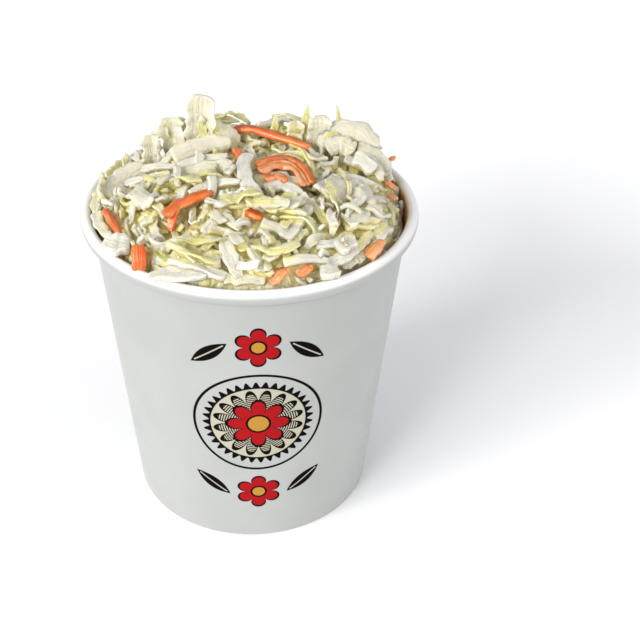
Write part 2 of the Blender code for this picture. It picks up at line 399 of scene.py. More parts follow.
def small_flower(net, reach, angle):
    """A six-petalled red flower with a black outline and a yellow eye."""
    return [
        (below(net, reach, petals(net, angle, 6, FLOWER * 0.55, FLOWER, math.pi / 2)), INK_BLACK),
        (below(net, reach, petals(net, angle, 6, FLOWER * 0.46, FLOWER * 0.9, math.pi / 2)), INK_RED),
        (below(net, reach, FLOWER * 0.36), INK_BLACK),
        (below(net, reach, FLOWER * 0.27), INK_YELLOW),
    ]


def corner_shapes(net, across, up):
    """A leaf with a pale rib in each corner; both distances are folded positive."""
    x, y, length, width, lean = LEAF
    dx, dy = net.math("SUBTRACT", across, x), net.math("SUBTRACT", up, y)
    turned_x = [net.math("MULTIPLY", dx, math.cos(lean)), net.math("MULTIPLY", dy, -math.sin(lean))]
    turned_y = [net.math("MULTIPLY", dx, math.sin(lean)), net.math("MULTIPLY", dy, math.cos(lean))]
    along = net.math("ABSOLUTE", net.math("ADD", *turned_x))
    aside = net.math("ABSOLUTE", net.math("ADD", *turned_y))
    share = net.math("DIVIDE", along, length)
    edge = net.math("MULTIPLY", net.math("SUBTRACT", 1.0, net.math("POWER", share, 2.0)), width)
    blade = below(net, net.math("SUBTRACT", aside, edge), 0.0)
    rib = net.math("MULTIPLY", below(net, aside, 0.0002), below(net, along, length * 0.8))
    return [(blade, INK_BLACK), (rib, INK_CREAM)]


print("small flowers", FLOWER_UP / MM, "mm from the centre, leaves", LEAF[2] * 2 / MM, "mm long")

# %% Print the ornament


def wall_at(net, z):
    """Radius of the wall's middle layer at a level, in metres."""
    return net.math("ADD", net.math("MULTIPLY", z, LEAN), wall_radius(0.0) * MM)


def printed_colour(net, place, bare):
    """Colour of the printed board: bare paper with the ornament's inks laid over it."""
    x, y, z = net.parts(place)
    turn = net.math("ARCTAN2", x, net.math("MULTIPLY", y, -1.0))
    turn = net.math("SUBTRACT", turn, PRINT_TURN)
    across = net.math("MULTIPLY", turn, wall_at(net, z))
    up = net.math("SUBTRACT", z, PRINT_LEVEL)
    far_across, far_up = net.math("ABSOLUTE", across), net.math("ABSOLUTE", up)
    steps = rosette(net, *polar(net, across, up))
    steps += small_flower(net, *polar(net, across, net.math("SUBTRACT", far_up, FLOWER_UP)))
    steps += corner_shapes(net, far_across, far_up)
    colour = bare
    for mask, ink in steps:
        colour = net.mix(mask, colour, ink)
    return colour


print("print turned from the front by", round(math.degrees(PRINT_TURN), 1), "degrees")

# %% Paper finishes
PAPER = (srgb(162, 164, 161), srgb(166, 168, 165))
# Painted highlight: the top of the lip's roll is near white, far lighter than the wall's paper.
LIP_PAINTED_HIGHLIGHT = srgb(238, 239, 235)
# Brown of a dressing stain, and painted shade of the gap between salad and wall.
STAIN_AND_GAP_SHADE = srgb(192, 140, 58)
LIP_BEND = 2.2 * BOARD * MM


def near_lip(net, z, low, high, to_low=0.0, to_high=1.0):
    """Map a level near the lip, between two heights over it in millimetres."""
    return net.range(z, (CUP_HEIGHT + low) * MM, (CUP_HEIGHT + high) * MM, to_low, to_high)


def stain_and_shade_share(net, place):
    """Share of brown, partly dressing stain and partly painted shade of the gap: inside the wall,
    fading out at the lip, and more on the right.

    Inside is less than the radius of the wall's middle layer, to which the bend is added where
    the wall turns outwards into the lip.
    """
    x, y, z = net.parts(place)
    middle = net.math("ADD", wall_at(net, z), near_lip(net, z, -2.4, -0.6, 0.0, LIP_BEND))
    inside = net.math("SUBTRACT", polar(net, x, y)[0], middle)
    inside = net.range(inside, -0.4 * BOARD * MM, 0.3 * BOARD * MM, 1.0, 0.0)
    tint_share = net.math("ADD", z, net.math("MULTIPLY", net.noise(place, 160.0, 2.0), 2.0 * MM))
    tint_share = near_lip(net, tint_share, -2.0, 1.4, 1.0, 0.1)
    tint_share = net.math("MULTIPLY", tint_share, net.range(x, -0.02, 0.03, 0.35, 1.0))
    return net.math("MULTIPLY", inside, tint_share)


def paper_finish(name, printed):
    """Coated paperboard with a painted highlight, near white at the top of the lip; printed adds the
    ornament, whose inks are matt.
    """
    net = Network(name)
    place = net.add("ShaderNodeTexCoord", output="Object")
    fibre = net.noise(place, 900.0, 4.0, 0.65)
    cloud = net.noise(place, 60.0, 2.0)
    # Painted highlight: the paper turns near white over the top two millimetres of the lip.
    lip = near_lip(net, net.parts(place)[2], -2.2, -0.3)
    colour = net.mix(lip, net.mix(net.range(cloud, 0.3, 0.7), *PAPER), LIP_PAINTED_HIGHLIGHT)
    # Partly a dressing stain, partly painted shade: brown inside the cup, fading out at the lip,
    # stronger on the right.
    colour = net.mix(stain_and_shade_share(net, place), colour, STAIN_AND_GAP_SHADE)
    if printed:
        colour = printed_colour(net, place, colour)
    bare = net.range(net.add("ShaderNodeRGBToBW", {0: colour}), 0.1, 0.3)
    net.feed(net.shader.inputs["Specular IOR Level"], net.math("MULTIPLY", bare, 0.5))
    dent = net.bump(cloud, 0.5, 0.0003, net.bump(fibre, 0.25, 0.00006))
    return net.finish(base_color=colour, roughness=net.range(fibre, 0.3, 0.7, 0.36, 0.46),
                      normal=dent, coat_weight=net.math("MULTIPLY", bare, 0.25),
                      coat_roughness=0.22)


printed_paper = paper_finish("printed_paperboard", True)
plain_paper = paper_finish("plain_paperboard", False)
print("nodes in the printed paper:", len(printed_paper.node_tree.nodes))

# %% [markdown]
# ## The cup's side
#
# A paper cup's side is one strip of board. It is folded in and up at the foot, climbs the wall
# and rolls outwards at the lip, with the roll's end tucked under. Its middle layer is a line in
# the plane of radius and height, made of straight runs and arcs. Half the board's thickness to
# each side gives the closed outline, and a turn round the axis gives the surface. Where the
# strip's two ends overlap, at the back, the upper layer lies one board higher and ends in a step.

# %% The board's middle layer


def arc(centre, radii, start, end, steps):
    """Points on an ellipse's arc: centre plus the radii times cosine and sine, in degrees."""
    angles = np.radians(np.linspace(start, end, steps + 1))
    across, tall = radii
    return np.column_stack(
        (centre[0] + across * np.cos(angles), centre[1] + tall * np.sin(angles))
    )


def side_line():
    """Middle layer of the side: down the folded leg, round the fold, up the wall, round the lip."""
    low = BOARD / 2
    inner = WALL_FOOT - 2 * (BOARD + GLUE_GAP)
    leg = np.linspace(FOLD_HEIGHT, low + BEND * 2, 5)
    leg = np.column_stack((inner + LEAN * leg, leg))
    turn_in = arc((inner + BEND, low + BEND), (BEND, BEND), 180.0, 270.0, 5)
    turn_out = arc((WALL_FOOT - BEND, low + BEND), (BEND, BEND), 270.0, 360.0, 5)
    wall = np.linspace(low + BEND * 3, LIP_CENTRE[1] - 1.0, 34)
    wall = np.column_stack((wall_radius(wall), wall))
    curl = arc(LIP_CENTRE, CURL_RADII, 180.0, 180.0 - LIP_CURL, 40)
    return np.vstack((leg, turn_in, turn_out, wall, curl)), len(curl)


print("points along the side's middle layer:", len(side_line()[0]))

# %% The board's outline


def thickened(line, thickness):
    """Closed outline round a line: each point moves half the thickness along its normal."""
    runs = np.diff(line, axis=0)
    runs /= np.linalg.norm(runs, axis=1)[:, None]
    before, after = np.vstack((runs[:1], runs)), np.vstack((runs, runs[-1:]))
    normals = np.column_stack((-(before + after)[:, 1], (before + after)[:, 0]))
    normals /= np.linalg.norm(normals, axis=1)[:, None]
    offset = normals * thickness / 2
    outline = np.vstack((line + offset, (line - offset)[::-1]))
    outward = np.vstack((normals, -normals[::-1]))
    return outline, outward


def turned(outline, angles):
    """Turn an outline of radius and height round the axis, one copy at each angle."""
    radius, level = outline[..., 0], outline[..., 1]
    return np.stack(
        (radius * np.cos(angles)[:, None], radius * np.sin(angles)[:, None],
         np.broadcast_to(level, radius.shape)), axis=-1,
    )


print("points round the side's outline:", len(thickened(side_line()[0], BOARD)[0]))

# %% Turn the side and give it its seam
SEAM_TURN = math.radians(112.0)
SEAM_LAP = 9.0
SEAM_RAMP = 5.0
SEAM_RISE = 0.85 * BOARD
SIDE_STEPS = 220

line, lip_points = side_line()
outline, outward = thickened(line, BOARD)
seam_radius = wall_radius(CUP_HEIGHT / 2)
seam_mm = np.array((-SEAM_LAP, -SEAM_LAP + SEAM_RAMP, -1.5, -0.06, 0.06, 1.0))
even = np.linspace(0.0, 2 * math.pi, SIDE_STEPS, endpoint=False)
angles = np.sort(np.concatenate((even, SEAM_TURN + seam_mm / seam_radius)))
arc_mm = (angles - SEAM_TURN) * seam_radius
raised = np.clip((arc_mm + SEAM_LAP) / SEAM_RAMP, 0.0, 1.0) * (arc_mm < 0.0)
raised *= arc_mm > -SEAM_LAP
# share of the seam's rise: all of it on the outer face, a part of it inside the lip's roll
side_of = np.zeros(len(outline))
side_of[len(line) - lip_points:len(line)] = 0.6
side_of[len(line):] = 1.0
shift = (raised[:, None] * side_of * SEAM_RISE)[..., None] * outward
# a paper cup is never quite round near its lip, and its lap ends where it meets the table
slack = 0.05 * np.sin(2 * angles + 0.7) + 0.03 * np.sin(5 * angles)
side = turned(outline + shift, angles)
side[..., :2] *= (1.0 + slack[:, None] * (side[..., 2] / CUP_HEIGHT) ** 2 / LIP_RADIUS)[..., None]
side[..., 2] = np.maximum(side[..., 2], 0.0)
make_piece(
    "cup_side", side, [grid_faces(*side.shape[:2], True, True)], printed_paper,
    node="cup_wall",
)

# %% [markdown]
# ## The cup's floor
#
# The floor is a separate disc. Its edge turns down into the folded foot, where heat and
# pressure seal it, and the weight of the food lets its middle sag by a fraction of a millimetre.

# %% Turn the floor
FLOOR_SAG = 0.35
FLOOR_CORNER = 1.05
SKIRT_FOOT = 1.2
FLOOR_ROUND = 128

disc_level = FLOOR_LEVEL - BOARD / 2
skirt_gap = BOARD + GLUE_GAP
corner_at = (wall_radius(disc_level) - skirt_gap - FLOOR_CORNER, disc_level - FLOOR_CORNER)
disc = np.linspace(0.02, corner_at[0], 24)
disc = np.column_stack((disc, disc_level - FLOOR_SAG * (1 - (disc / corner_at[0]) ** 2)))
bend = arc(corner_at, (FLOOR_CORNER, FLOOR_CORNER), 88.0, 2.0, 8)
skirt = np.linspace(corner_at[1] - 0.5, SKIRT_FOOT, 6)
skirt = np.column_stack((wall_radius(skirt) - skirt_gap, skirt))
floor_outline, _ = thickened(np.vstack((disc, bend, skirt)), BOARD)
floor_outline[[0, -1], 0] = 0.02
floor_turn = np.linspace(0.0, 2 * math.pi, FLOOR_ROUND, endpoint=False)
floor_outlines = np.broadcast_to(floor_outline, (FLOOR_ROUND, *floor_outline.shape))
floor_grid = turned(floor_outlines, floor_turn)
make_piece(
    "cup_floor", floor_grid, [grid_faces(*floor_grid.shape[:2], True, True)], plain_paper,
    node="cup_base",
)

# %% [markdown]
# ## The heap's height
#
# The CAD's heap is the envelope of the real one. Rays cast straight down onto it give its
# height on a grid, and a few passes of a small blur leave the large form: the mound, its lumps
# and the low side. The loose shreds will lie on a ground a few millimetres below this height.

# %% Read the height of the heap
HEIGHT_STEP = 2.0
HEIGHT_REACH = 50.0
CAST_RADIUS = 43.3
CAST_FROM = 0.3
BLUR_PASSES = 4
LOOSE_DEPTH = 8.8

heap_tree = BVHTree.FromObject(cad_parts["coleslaw"], bpy.context.evaluated_depsgraph_get())
grid_line = np.arange(-HEIGHT_REACH, HEIGHT_REACH + 0.1, HEIGHT_STEP)
grid_x, grid_y = np.meshgrid(grid_line, grid_line, indexing="ij")


def cast_down(x, y):
    """Height of the CAD heap under a place, in millimetres."""
    hit = heap_tree.ray_cast(Vector((x * MM, y * MM, CAST_FROM)), Vector((0.0, 0.0, -1.0)))
    return hit[0].z / MM


def blurred(grid, passes):
    """Each pass gives a cell half of its own value and a quarter of each neighbour's, both ways."""
    for _ in range(passes):
        for axis in (0, 1):
            ends = [(1, 1) if a == axis else (0, 0) for a in (0, 1)]
            wide = np.pad(grid, ends, mode="edge")
            low, high = (np.delete(wide, drop, axis=axis) for drop in ((-2, -1), (0, 1)))
            grid = grid * 0.5 + (low + high) * 0.25
    return grid


def read_grid(grid, x, y):
    """Value of a grid at any place: it blends the four values round the place."""
    cells = len(grid) - 1
    u = np.clip((x / HEIGHT_REACH + 1) * cells / 2, 0, cells - 0.001)
    v = np.clip((y / HEIGHT_REACH + 1) * cells / 2, 0, cells - 0.001)
    i, j = u.astype(int), v.astype(int)
    u, v = u - i, v - j
    near = grid[i, j] * (1 - v) + grid[i, j + 1] * v
    far = grid[i + 1, j] * (1 - v) + grid[i + 1, j + 1] * v
    return near * (1 - u) + far * u


pull = np.minimum(1.0, CAST_RADIUS / np.maximum(np.hypot(grid_x, grid_y), 1e-6))
heap_height = np.array(
    [cast_down(x, y) for x, y in zip((grid_x * pull).ravel(), (grid_y * pull).ravel())]
).reshape(grid_x.shape)
heap_height = blurred(heap_height, BLUR_PASSES)


def ground_level(x, y):
    """Level that the loose shreds lie on: the heap's height less the loose layer."""
    return read_grid(heap_height, x, y) - LOOSE_DEPTH


print("heap height over the lip:", np.round(heap_height.max() - CUP_HEIGHT, 1), "mm")

# %% [markdown]
# ## Shreds at rest
#
# A shred is a thin strip, so three rows of points along it are enough to bend, curl and twist
# it. Its middle row follows a heading that turns steadily by the curl and swings by a wave. The
# two outer rows stand half a width to each side, and are lifted a little where a leaf is cupped.
# Whole kinds of shreds are made at once: arrays of shred, station, row and coordinate.

# %% Kinds of shreds
Kind = namedtuple(
    "Kind", "number stations length width thick curl sideways twist wave cup leaf tip"
)
KINDS = {
    # number, stations, length, width, thickness (mm), curl, sideways, twist, wave (degrees),
    # cup, leafiness from white rib (0) to green leaf (1), and the far end's share of the width
    "rib_strips": (370, 9, (8, 18), (1.7, 3.1), (0.9, 1.5), (0, 70), 20, 30, 14, 0.10,
                   (0.0, 0.35), (0.3, 1.0)),
    "leaf_strips": (380, 9, (8, 18), (1.8, 3.5), (0.6, 1.0), (10, 120), 24, 50, 32, 0.25,
                    (0.05, 0.75), (0.3, 0.9)),
    "broad_leaves": (20, 9, (9, 14), (4.8, 6.2), (1.1, 1.6), (20, 110), 15, 30, 22, 0.30,
                     (0.0, 0.4), (0.5, 0.9)),
    "green_slivers": (44, 9, (8, 15), (1.2, 2.0), (0.7, 1.1), (20, 130), 30, 60, 25, 0.1,
                      (0.7, 1.0), (0.1, 0.5)),
    "pale_threads": (110, 9, (7, 15), (1.1, 1.9), (0.9, 1.3), (10, 110), 30, 40, 25, 0.0,
                     (0.0, 0.4), (0.3, 0.9)),
    "rib_chunks": (26, 5, (4, 8), (2.6, 4.4), (1.8, 2.6), (0, 50), 12, 10, 0, 0.0,
                   (0.0, 0.2), (0.4, 1.0)),
    "cabbage_bits": (190, 5, (3, 7), (1.6, 3.2), (1.1, 2.0), (0, 80), 20, 30, 20, 0.15,
                     (0.0, 0.6), (0.3, 1.0)),
    "carrot_shreds": (0, 9, (7, 13), (2.0, 2.8), (1.2, 1.7), (10, 60), 15, 20, 8, 0.0,
                      (0.0, 1.0), (0.3, 0.7)),
}
KINDS = {name: Kind(*row) for name, row in KINDS.items()}
print("kinds of shreds:", {name: kind.number for name, kind in KINDS.items()})

# %% Make flat lattices of strips
BENT_DOWN = 0.72
WAVES = 1.4
SLANT = 38.0


def strip_lattice(length, width, pitch, yaw, roll, cup):
    """Three rows of points along each strip, from the headings at its stations.

    The middle row sums equal steps along the heading. The outer rows stand half a width
    aside, turned by the roll, and are lifted by the cup's share of that half width.
    """
    along = np.stack(
        (np.cos(pitch) * np.cos(yaw), np.cos(pitch) * np.sin(yaw), np.sin(pitch)), axis=-1
    )
    step = length[:, None, None] / (pitch.shape[1] - 1)
    middle = np.zeros_like(along)
    middle[:, 1:] = np.cumsum((along[:, 1:] + along[:, :-1]) / 2 * step, axis=1)
    middle -= middle.mean(axis=1, keepdims=True)
    aside = np.stack((-np.sin(yaw), np.cos(yaw), np.zeros_like(yaw)), axis=-1)
    lifted = np.cross(along, aside)
    across = aside * np.cos(roll)[..., None] + lifted * np.sin(roll)[..., None]
    normal = np.cross(along, across)
    half = (width / 2)[:, None, None]
    edges = [middle + (normal * cup + across * side) * half for side in (-1, 1)]
    return np.stack((edges[0], middle, edges[1]), axis=2)


def random_strips(rng, kind):
    """A batch of shreds of one kind: rest lattices, thickness, leafiness and cut of the ends."""
    ranges = KINDS[kind]
    count = ranges.number
    share = np.linspace(0.0, 1.0, ranges.stations) - 0.5
    length = rng.uniform(*ranges.length, count)
    width = rng.uniform(*ranges.width, count)
    curl = np.radians(rng.uniform(*ranges.curl, count))
    bend = curl * np.where(rng.random(count) < BENT_DOWN, -1, 1)
    swing = np.radians(rng.uniform(-ranges.wave, ranges.wave, count))
    start = rng.uniform(0, 2 * math.pi, count)
    ripple = np.sin(2 * math.pi * WAVES * share + start[:, None])
    pitch = bend[:, None] * share + swing[:, None] * ripple
    yaw = np.radians(rng.normal(0, ranges.sideways, count))[:, None] * share
    roll = np.radians(rng.normal(0, ranges.twist, count))[:, None] * share
    lattice = strip_lattice(length, width, pitch, yaw, roll, ranges.cup)
    return {"kind": kind, "rest": lattice, "thick": rng.uniform(*ranges.thick, count),
            "leaf": rng.uniform(*ranges.leaf, count), "tip": rng.uniform(*ranges.tip, count),
            "slant": rng.uniform(-SLANT, SLANT, (count, 2))}


rng = np.random.default_rng(21)
loose = [random_strips(rng, kind) for kind in KINDS if KINDS[kind].number]
print("loose shreds:", sum(len(batch["thick"]) for batch in loose))

# %% [markdown]
# ## Shreds with a place of their own
#
# Most shreds can lie anywhere, but some make this serving what it is: the carrot shreds, the
# tall pieces on the far rim of the heap, the long pale strips and those that lie across the
# lip. Each of these follows a smooth path through a few given places, and the loose shreds
# will settle round it.

# %% Places of the chosen shreds
PLACED = {
    # kind: width, thickness, leafiness, the end's share of the width, cup, turn about its
    # length (degrees), and places as x, y and height over the lip
    "rib_strips": [
        (3.2, 1.6, 0.1, 0.6, -0.2, 20, ((33.4, 9, 9.6), (36.6, 6, 8), (38, 1.6, 5.4))),
        (2.8, 1.5, 0.1, 0.6, -0.2, 20, ((36.4, 13.4, 6.4), (39.6, 10, 5.4), (41.4, 6, 3.2))),
        (4.6, 1.6, 0.1, 0.5, 0.1, 0,
         ((-11.6, -41, 2.2), (-17.4, -41.9, 1.9), (-22.5, -41.4, 1.6), (-26.6, -41.8, 0.9))),
        (3.9, 1.6, 0.0, 0.7, -0.2, 10,
         ((-0.4, 0.6, 14.6), (-2.2, -6.6, 14.7), (-0.8, -15, 13.9), (3.4, -22, 12))),
        (4.0, 1.6, 0.1, 0.6, 0.1, 10, ((-6.9, -34.4, 6.6), (-5.1, -39, 4), (-3, -43, 1.2))),
        (4.0, 1.6, 0.0, 0.6, 0.1, -10, ((8.9, -32.2, 6.6), (13.1, -26.2, 8.6), (16, -21.9, 10.4))),
        (4.4, 1.7, 0.1, 0.6, 0.1, -10, ((-21.2, -37.6, 4.6), (-14.7, -39.6, 3.2), (-6.9, -43, 1.4))),
        (2.2, 1.4, 0.15, 0.6, -0.15, 15, ((-41.4, 4, 2.1), (-33.3, 3.1, 4.8), (-22.9, -0.3, 9.2))),
        (2.4, 1.3, 0.25, 0.6, -0.15, 15, ((-37.9, 11.3, 2.1), (-29.6, 6.1, 7.7), (-21.4, 4.6, 8.8))),
        (2.4, 1.4, 0.1, 0.6, -0.15, 15,
         ((-16.6, -15.6, 10.9), (-10.3, -11.7, 12.1), (-2.9, -14.6, 14.2))),
        (2.7, 1.4, 0.0, 0.7, -0.2, 15, ((-12.7, -30.5, 7.7), (-7.8, -24.2, 8.9), (-3, -29.2, 7.8))),
        (2.9, 1.5, 0.05, 0.6, -0.2, 15, ((2.9, -27.7, 9), (7.7, -28.6, 7.3), (13.8, -30.2, 7.3))),
        (2.7, 1.4, 0.1, 0.6, -0.15, 15, ((18.5, -14.2, 11.8), (26.6, -0.4, 8.1), (36, -2.5, 5.9))),
        (2.5, 1.4, 0.05, 0.6, -0.15, 15, ((17.1, -34.3, 5.5), (23, -32.4, 5.5), (27.5, -23.7, 4.3))),
        (2.5, 1.4, 0.2, 0.6, -0.15, 15, ((27.6, 6.9, 10.1), (33.6, 6.5, 7), (40.6, 7.4, 4.5))),
        (2.5, 1.4, 0.0, 0.7, -0.15, 15, ((8.4, -40.9, 4.7), (14.8, -38.8, 4.5), (20.6, -38.2, 2.9))),
        (3.0, 1.4, 0.2, 0.7, 0.0, 20, ((-43.5, -9, 1), (-41.8, -15.4, 0.9), (-39, -21.2, 0.9))),
        (3.2, 1.5, 0.1, 0.7, -0.2, 15, ((2.7, -42.7, 3.3), (1.4, -38.8, 4.9), (-0.9, -34.1, 5.9))),
        (3.2, 1.6, 0.0, 0.7, -0.2, 15, ((20.1, -38.4, 2.4), (24.3, -35.4, 2.7), (28.5, -32.6, 3))),
        (2.8, 1.4, 0.1, 0.7, -0.2, 15, ((-12.2, -33.4, 4.6), (-9.8, -36.4, 4), (-8.7, -40.5, 3))),
        (2.8, 1.4, 0.1, 0.7, -0.2, 15, ((-20.9, 2.6, 9.9), (-14.6, 3.8, 11.2), (-6.4, 3.4, 12.6))),
        (3.0, 1.5, 0.1, 0.7, -0.2, 15, ((25.4, -25.9, 6.9), (30.3, -22.9, 5.4), (35.3, -20.8, 3.4))),
        (2.8, 1.4, 0.1, 0.7, -0.2, 20, ((28, -31.4, 2.6), (30.6, -28, 3.2), (33, -24, 3.2))),
        (3.4, 1.5, 0.1, 0.8, -0.2, 10, ((4, -14.4, 11.6), (9, -12.6, 12), (13.8, -17.4, 11.4))),
    ],
    "leaf_strips": [
        (3.6, 1.2, 0.8, 0.6, 0.3, 0, ((-14.4, 13.2, 7), (-14.2, 14.2, 12), (-13.8, 15.4, 18))),
        (2.5, 1.1, 0.4, 0.5, 0.2, 10, ((-34.9, -10.6, 3.1), (-25.8, -17.6, 8.9), (-23.6, -23.6, 8))),
        (2.7, 1.2, 0.5, 0.5, 0.2, 10, ((-7.7, -32.5, 6.4), (-2.4, -34.9, 5.7), (2.8, -32.7, 5.8))),
        (2.7, 1.2, 0.45, 0.5, 0.2, 10, ((13.4, -18.7, 11.8), (18.2, -21.1, 8.8), (21.2, -27.5, 6.9))),
        (2.7, 1.2, 0.35, 0.6, 0.2, 10, ((-13.9, -38.5, 3.4), (-7.7, -36.3, 4.4), (-2, -39.6, 3.7))),
        (2.9, 1.2, 0.6, 0.4, 0.25, 10, ((8.5, -17.7, 11.3), (13.3, -21.5, 10.3), (12.1, -25.4, 7.6))),
        (3.4, 1.2, 0.3, 0.8, 0.0, 25, ((-43.6, 7, 0.9), (-44.3, -0.6, 0.8), (-43.7, -8.2, 0.9))),
        (3.2, 1.2, 0.4, 0.7, 0.0, 20, ((-42.2, 12.4, 0.9), (-39.6, 19.4, 0.8), (-35.6, 26, 0.6))),
        (3.0, 1.2, 0.4, 0.7, 0.0, 20, ((36.4, -19, 1.2), (32.2, -26, 0.9), (27.2, -31.4, 0.8))),
        (2.8, 1.2, 0.5, 0.6, 0.2, 10, ((10.2, -34.5, 5), (12.2, -31.6, 6.4), (15.1, -30.2, 7.8))),
        (2.8, 1.2, 0.4, 0.6, 0.2, 10, ((4.4, -32.5, 5.7), (7.6, -34.8, 5.2), (9.5, -38.6, 4.6))),
        (2.8, 1.2, 0.4, 0.6, 0.2, 10, ((-18.8, -32.8, 5.5), (-15.6, -34.7, 4.8), (-11.9, -36.8, 3.2))),
        (3.0, 1.3, 0.3, 0.7, -0.2, 25, ((-7, -42.8, 1), (-2, -43.5, 0.9), (3.4, -43.7, 0.8))),
        (3.0, 1.3, 0.35, 0.7, -0.2, 25, ((24, -36.6, 0.6), (28.4, -33.2, 0.7), (31.6, -30.4, 0.6))),
        (4.0, 1.3, 0.3, 0.8, -0.2, 10, ((1.4, -10.6, 11.6), (8, -7.6, 12), (14, -12, 11.6))),
        (3.6, 1.3, 0.4, 0.8, -0.2, 10, ((4, -1, 12.4), (9, 2.4, 12.4), (15, 0.6, 11.8))),
    ],
    "broad_leaves": [
        (9.0, 1.8, 0.12, 0.95, 0.6, 0,
         ((-14.8, 15, 6), (-14.7, 15.5, 11.7), (-14.5, 16.2, 16.3), (-14.1, 16.9, 20.2),
          (-13.7, 17.6, 25))),
        (6.4, 1.3, 0.25, 0.7, -0.3, 30, ((-12.4, 14.6, 15.4), (-8, 14.6, 14.8), (-3.6, 14.6, 10.4))),
        (7.8, 1.4, 0.2, 1.0, 0.6, 0, ((-23, 15, 6), (-23.2, 15.8, 12), (-23.4, 17.4, 18))),
        (6.6, 1.3, 0.15, 0.95, 0.5, 0, ((-28.6, 13.4, 4), (-28.8, 14, 9), (-29, 15.4, 13.4))),
        (7.4, 1.7, 0.05, 0.9, -0.6, 34,
         ((22.6, 13.4, 9), (25.6, 15, 13.6), (29.8, 15.6, 15.4), (34, 14.4, 13.4), (36.6, 12.8, 9.4))),
        (5.6, 1.6, 0.15, 0.8, -0.55, 30,
         ((31.6, 10.8, 11), (35.4, 10.6, 9.8), (38.4, 9.2, 7.4), (39.8, 7.8, 4.8))),
        (5.6, 1.5, 0.25, 0.8, -0.55, 28, ((22.4, 9.6, 11.8), (26.2, 11, 13), (30.6, 9.4, 11.6))),
        (6.6, 1.3, 0.3, 0.9, 0.45, 0, ((19.8, 17, 7), (20.6, 17.8, 12.6), (21, 19.2, 17.8))),
        (5.0, 1.2, 0.35, 1.0, 0.35, 0, ((13.2, 16.6, 7), (13.4, 17.4, 12), (13.6, 18.6, 16.4))),
        (5.4, 1.7, 0.05, 0.8, -0.45, 28, ((-22.4, 6.6, 10.8), (-14.6, 9.6, 13), (-5.6, 10.6, 13.6))),
        (4.6, 1.6, 0.2, 0.7, -0.45, 25, ((-20.4, -4.4, 9.8), (-12.8, -3, 12.4), (-5, -4, 13.6))),
        (7.0, 1.6, 0.05, 0.8, -0.35, 25, ((20.6, -17.6, 11.2), (27, -12.6, 10.2), (34, -8.6, 6.8))),
        (6.0, 1.5, 0.15, 0.8, -0.3, 20, ((-41.4, -1, 2.6), (-37.4, 4.8, 4.8), (-31, 8, 7.2))),
    ],
    "green_slivers": [
        (3.4, 1.0, 0.8, 0.15, 0.1, 0, ((14.8, 17, 7), (16.4, 19, 14.6), (17.2, 20, 20.8))),
        (2.4, 1.0, 0.8, 0.15, 0.1, 0, ((27.6, 17.4, 8), (26.6, 18.8, 15), (25.8, 19.5, 20.8))),
        (2.8, 1.0, 0.9, 0.2, 0.1, 0, ((6.6, 18.4, 8), (7.4, 19.8, 13), (7.8, 21, 17.4))),
        (2.6, 1.0, 1.3, 0.3, 0.1, 20, ((26.1, -21.4, 8.9), (28.9, -14.9, 6.8), (31.6, -13.4, 7.1))),
        (2.2, 1.0, 1.2, 0.3, 0.1, 20, ((13.5, -37.1, 5.1), (14.7, -33.9, 4.9), (15.6, -32.4, 5.8))),
        (1.8, 0.9, 1.3, 0.3, 0.1, 20, ((-24.7, -35.2, 4.8), (-23, -38.1, 4.8), (-20.6, -39.5, 4.7))),
        (2.2, 1.0, 1.1, 0.3, 0.1, 20, ((9.2, 17.9, 13.4), (11.9, 19, 13.5), (14.5, 16.4, 13.8))),
        (1.6, 0.9, 1.1, 0.3, 0.1, 20, ((-20.7, -10.3, 9.2), (-17.6, -12.1, 9.2), (-13.8, -16.7, 10.9))),
        (2.0, 1.0, 0.9, 0.3, 0.1, 20, ((22, 12.9, 12.9), (24.1, 13.9, 14.3), (26.8, 13.6, 13.2))),
    ],
    "pale_threads": [
        (1.7, 1.2, 0.3, 0.5, 0.0, 10, ((-38.8, -8.8, 4.3), (-31.2, -5.1, 5.4), (-22.9, -10.3, 9.2))),
        (1.6, 1.1, 0.2, 0.5, 0.0, 0, ((-12.4, -18.3, 10.5), (-4, -21, 10.1), (3.1, -18.3, 11))),
    ],
    "rib_chunks": [
        (4.6, 2.4, 0.0, 0.8, 0.1, 15, ((30, 5.4, 10.6), (32.8, 4.6, 9.8), (35.8, 2.8, 8))),
        (6.6, 3.0, 0.0, 0.8, 0.1, 10, ((-39.2, -26.6, 2.6), (-36.4, -27.8, 2.2), (-32.6, -27.9, 2))),
        (3.8, 2.2, 0.0, 0.8, 0.1, 0, ((18, -41.6, 1.5), (20, -41.6, 1.8), (22.6, -40.6, 1.5))),
        (4.4, 2.4, 0.0, 0.8, 0.1, 10, ((22.6, -34.6, 4.6), (25, -32.6, 5), (27.6, -31, 4.6))),
        (4.4, 2.4, 0.0, 0.8, 0.1, 10, ((29.6, -22.6, 7.2), (32.4, -20.6, 6.6), (35.2, -18.6, 4.6))),
        (4.0, 2.2, 0.0, 0.8, 0.1, 10, ((33.6, -24.6, 2), (35.8, -22, 2.2), (38, -19, 1.8))),
    ],
    "carrot_shreds": [
        (3.3, 2.0, 0.0, 0.5, 0.0, -25,
         ((-4.8, 20.9, 12.2), (0, 19.7, 13.2), (4.7, 17.5, 12.9), (10.6, 15.2, 12),
          (17.6, 11.2, 11.2))),
        (2.2, 1.5, 0.6, 0.7, 0.0, -30,
         ((2.2, -6.3, 13.5), (6.5, -2.5, 13.7), (10.6, -1.9, 13.3), (14.2, -7.6, 13.4),
          (15.8, -13.7, 12.5))),
        (2.8, 1.6, 0.3, 0.7, 0.0, -30,
         ((1.8, -4.6, 13.8), (6.4, -0.4, 13.8), (11, 0.4, 13.4), (15, -5.8, 13.6),
          (16.9, -12.8, 12.6))),
        (2.5, 1.6, 0.8, 0.7, 0.0, -30,
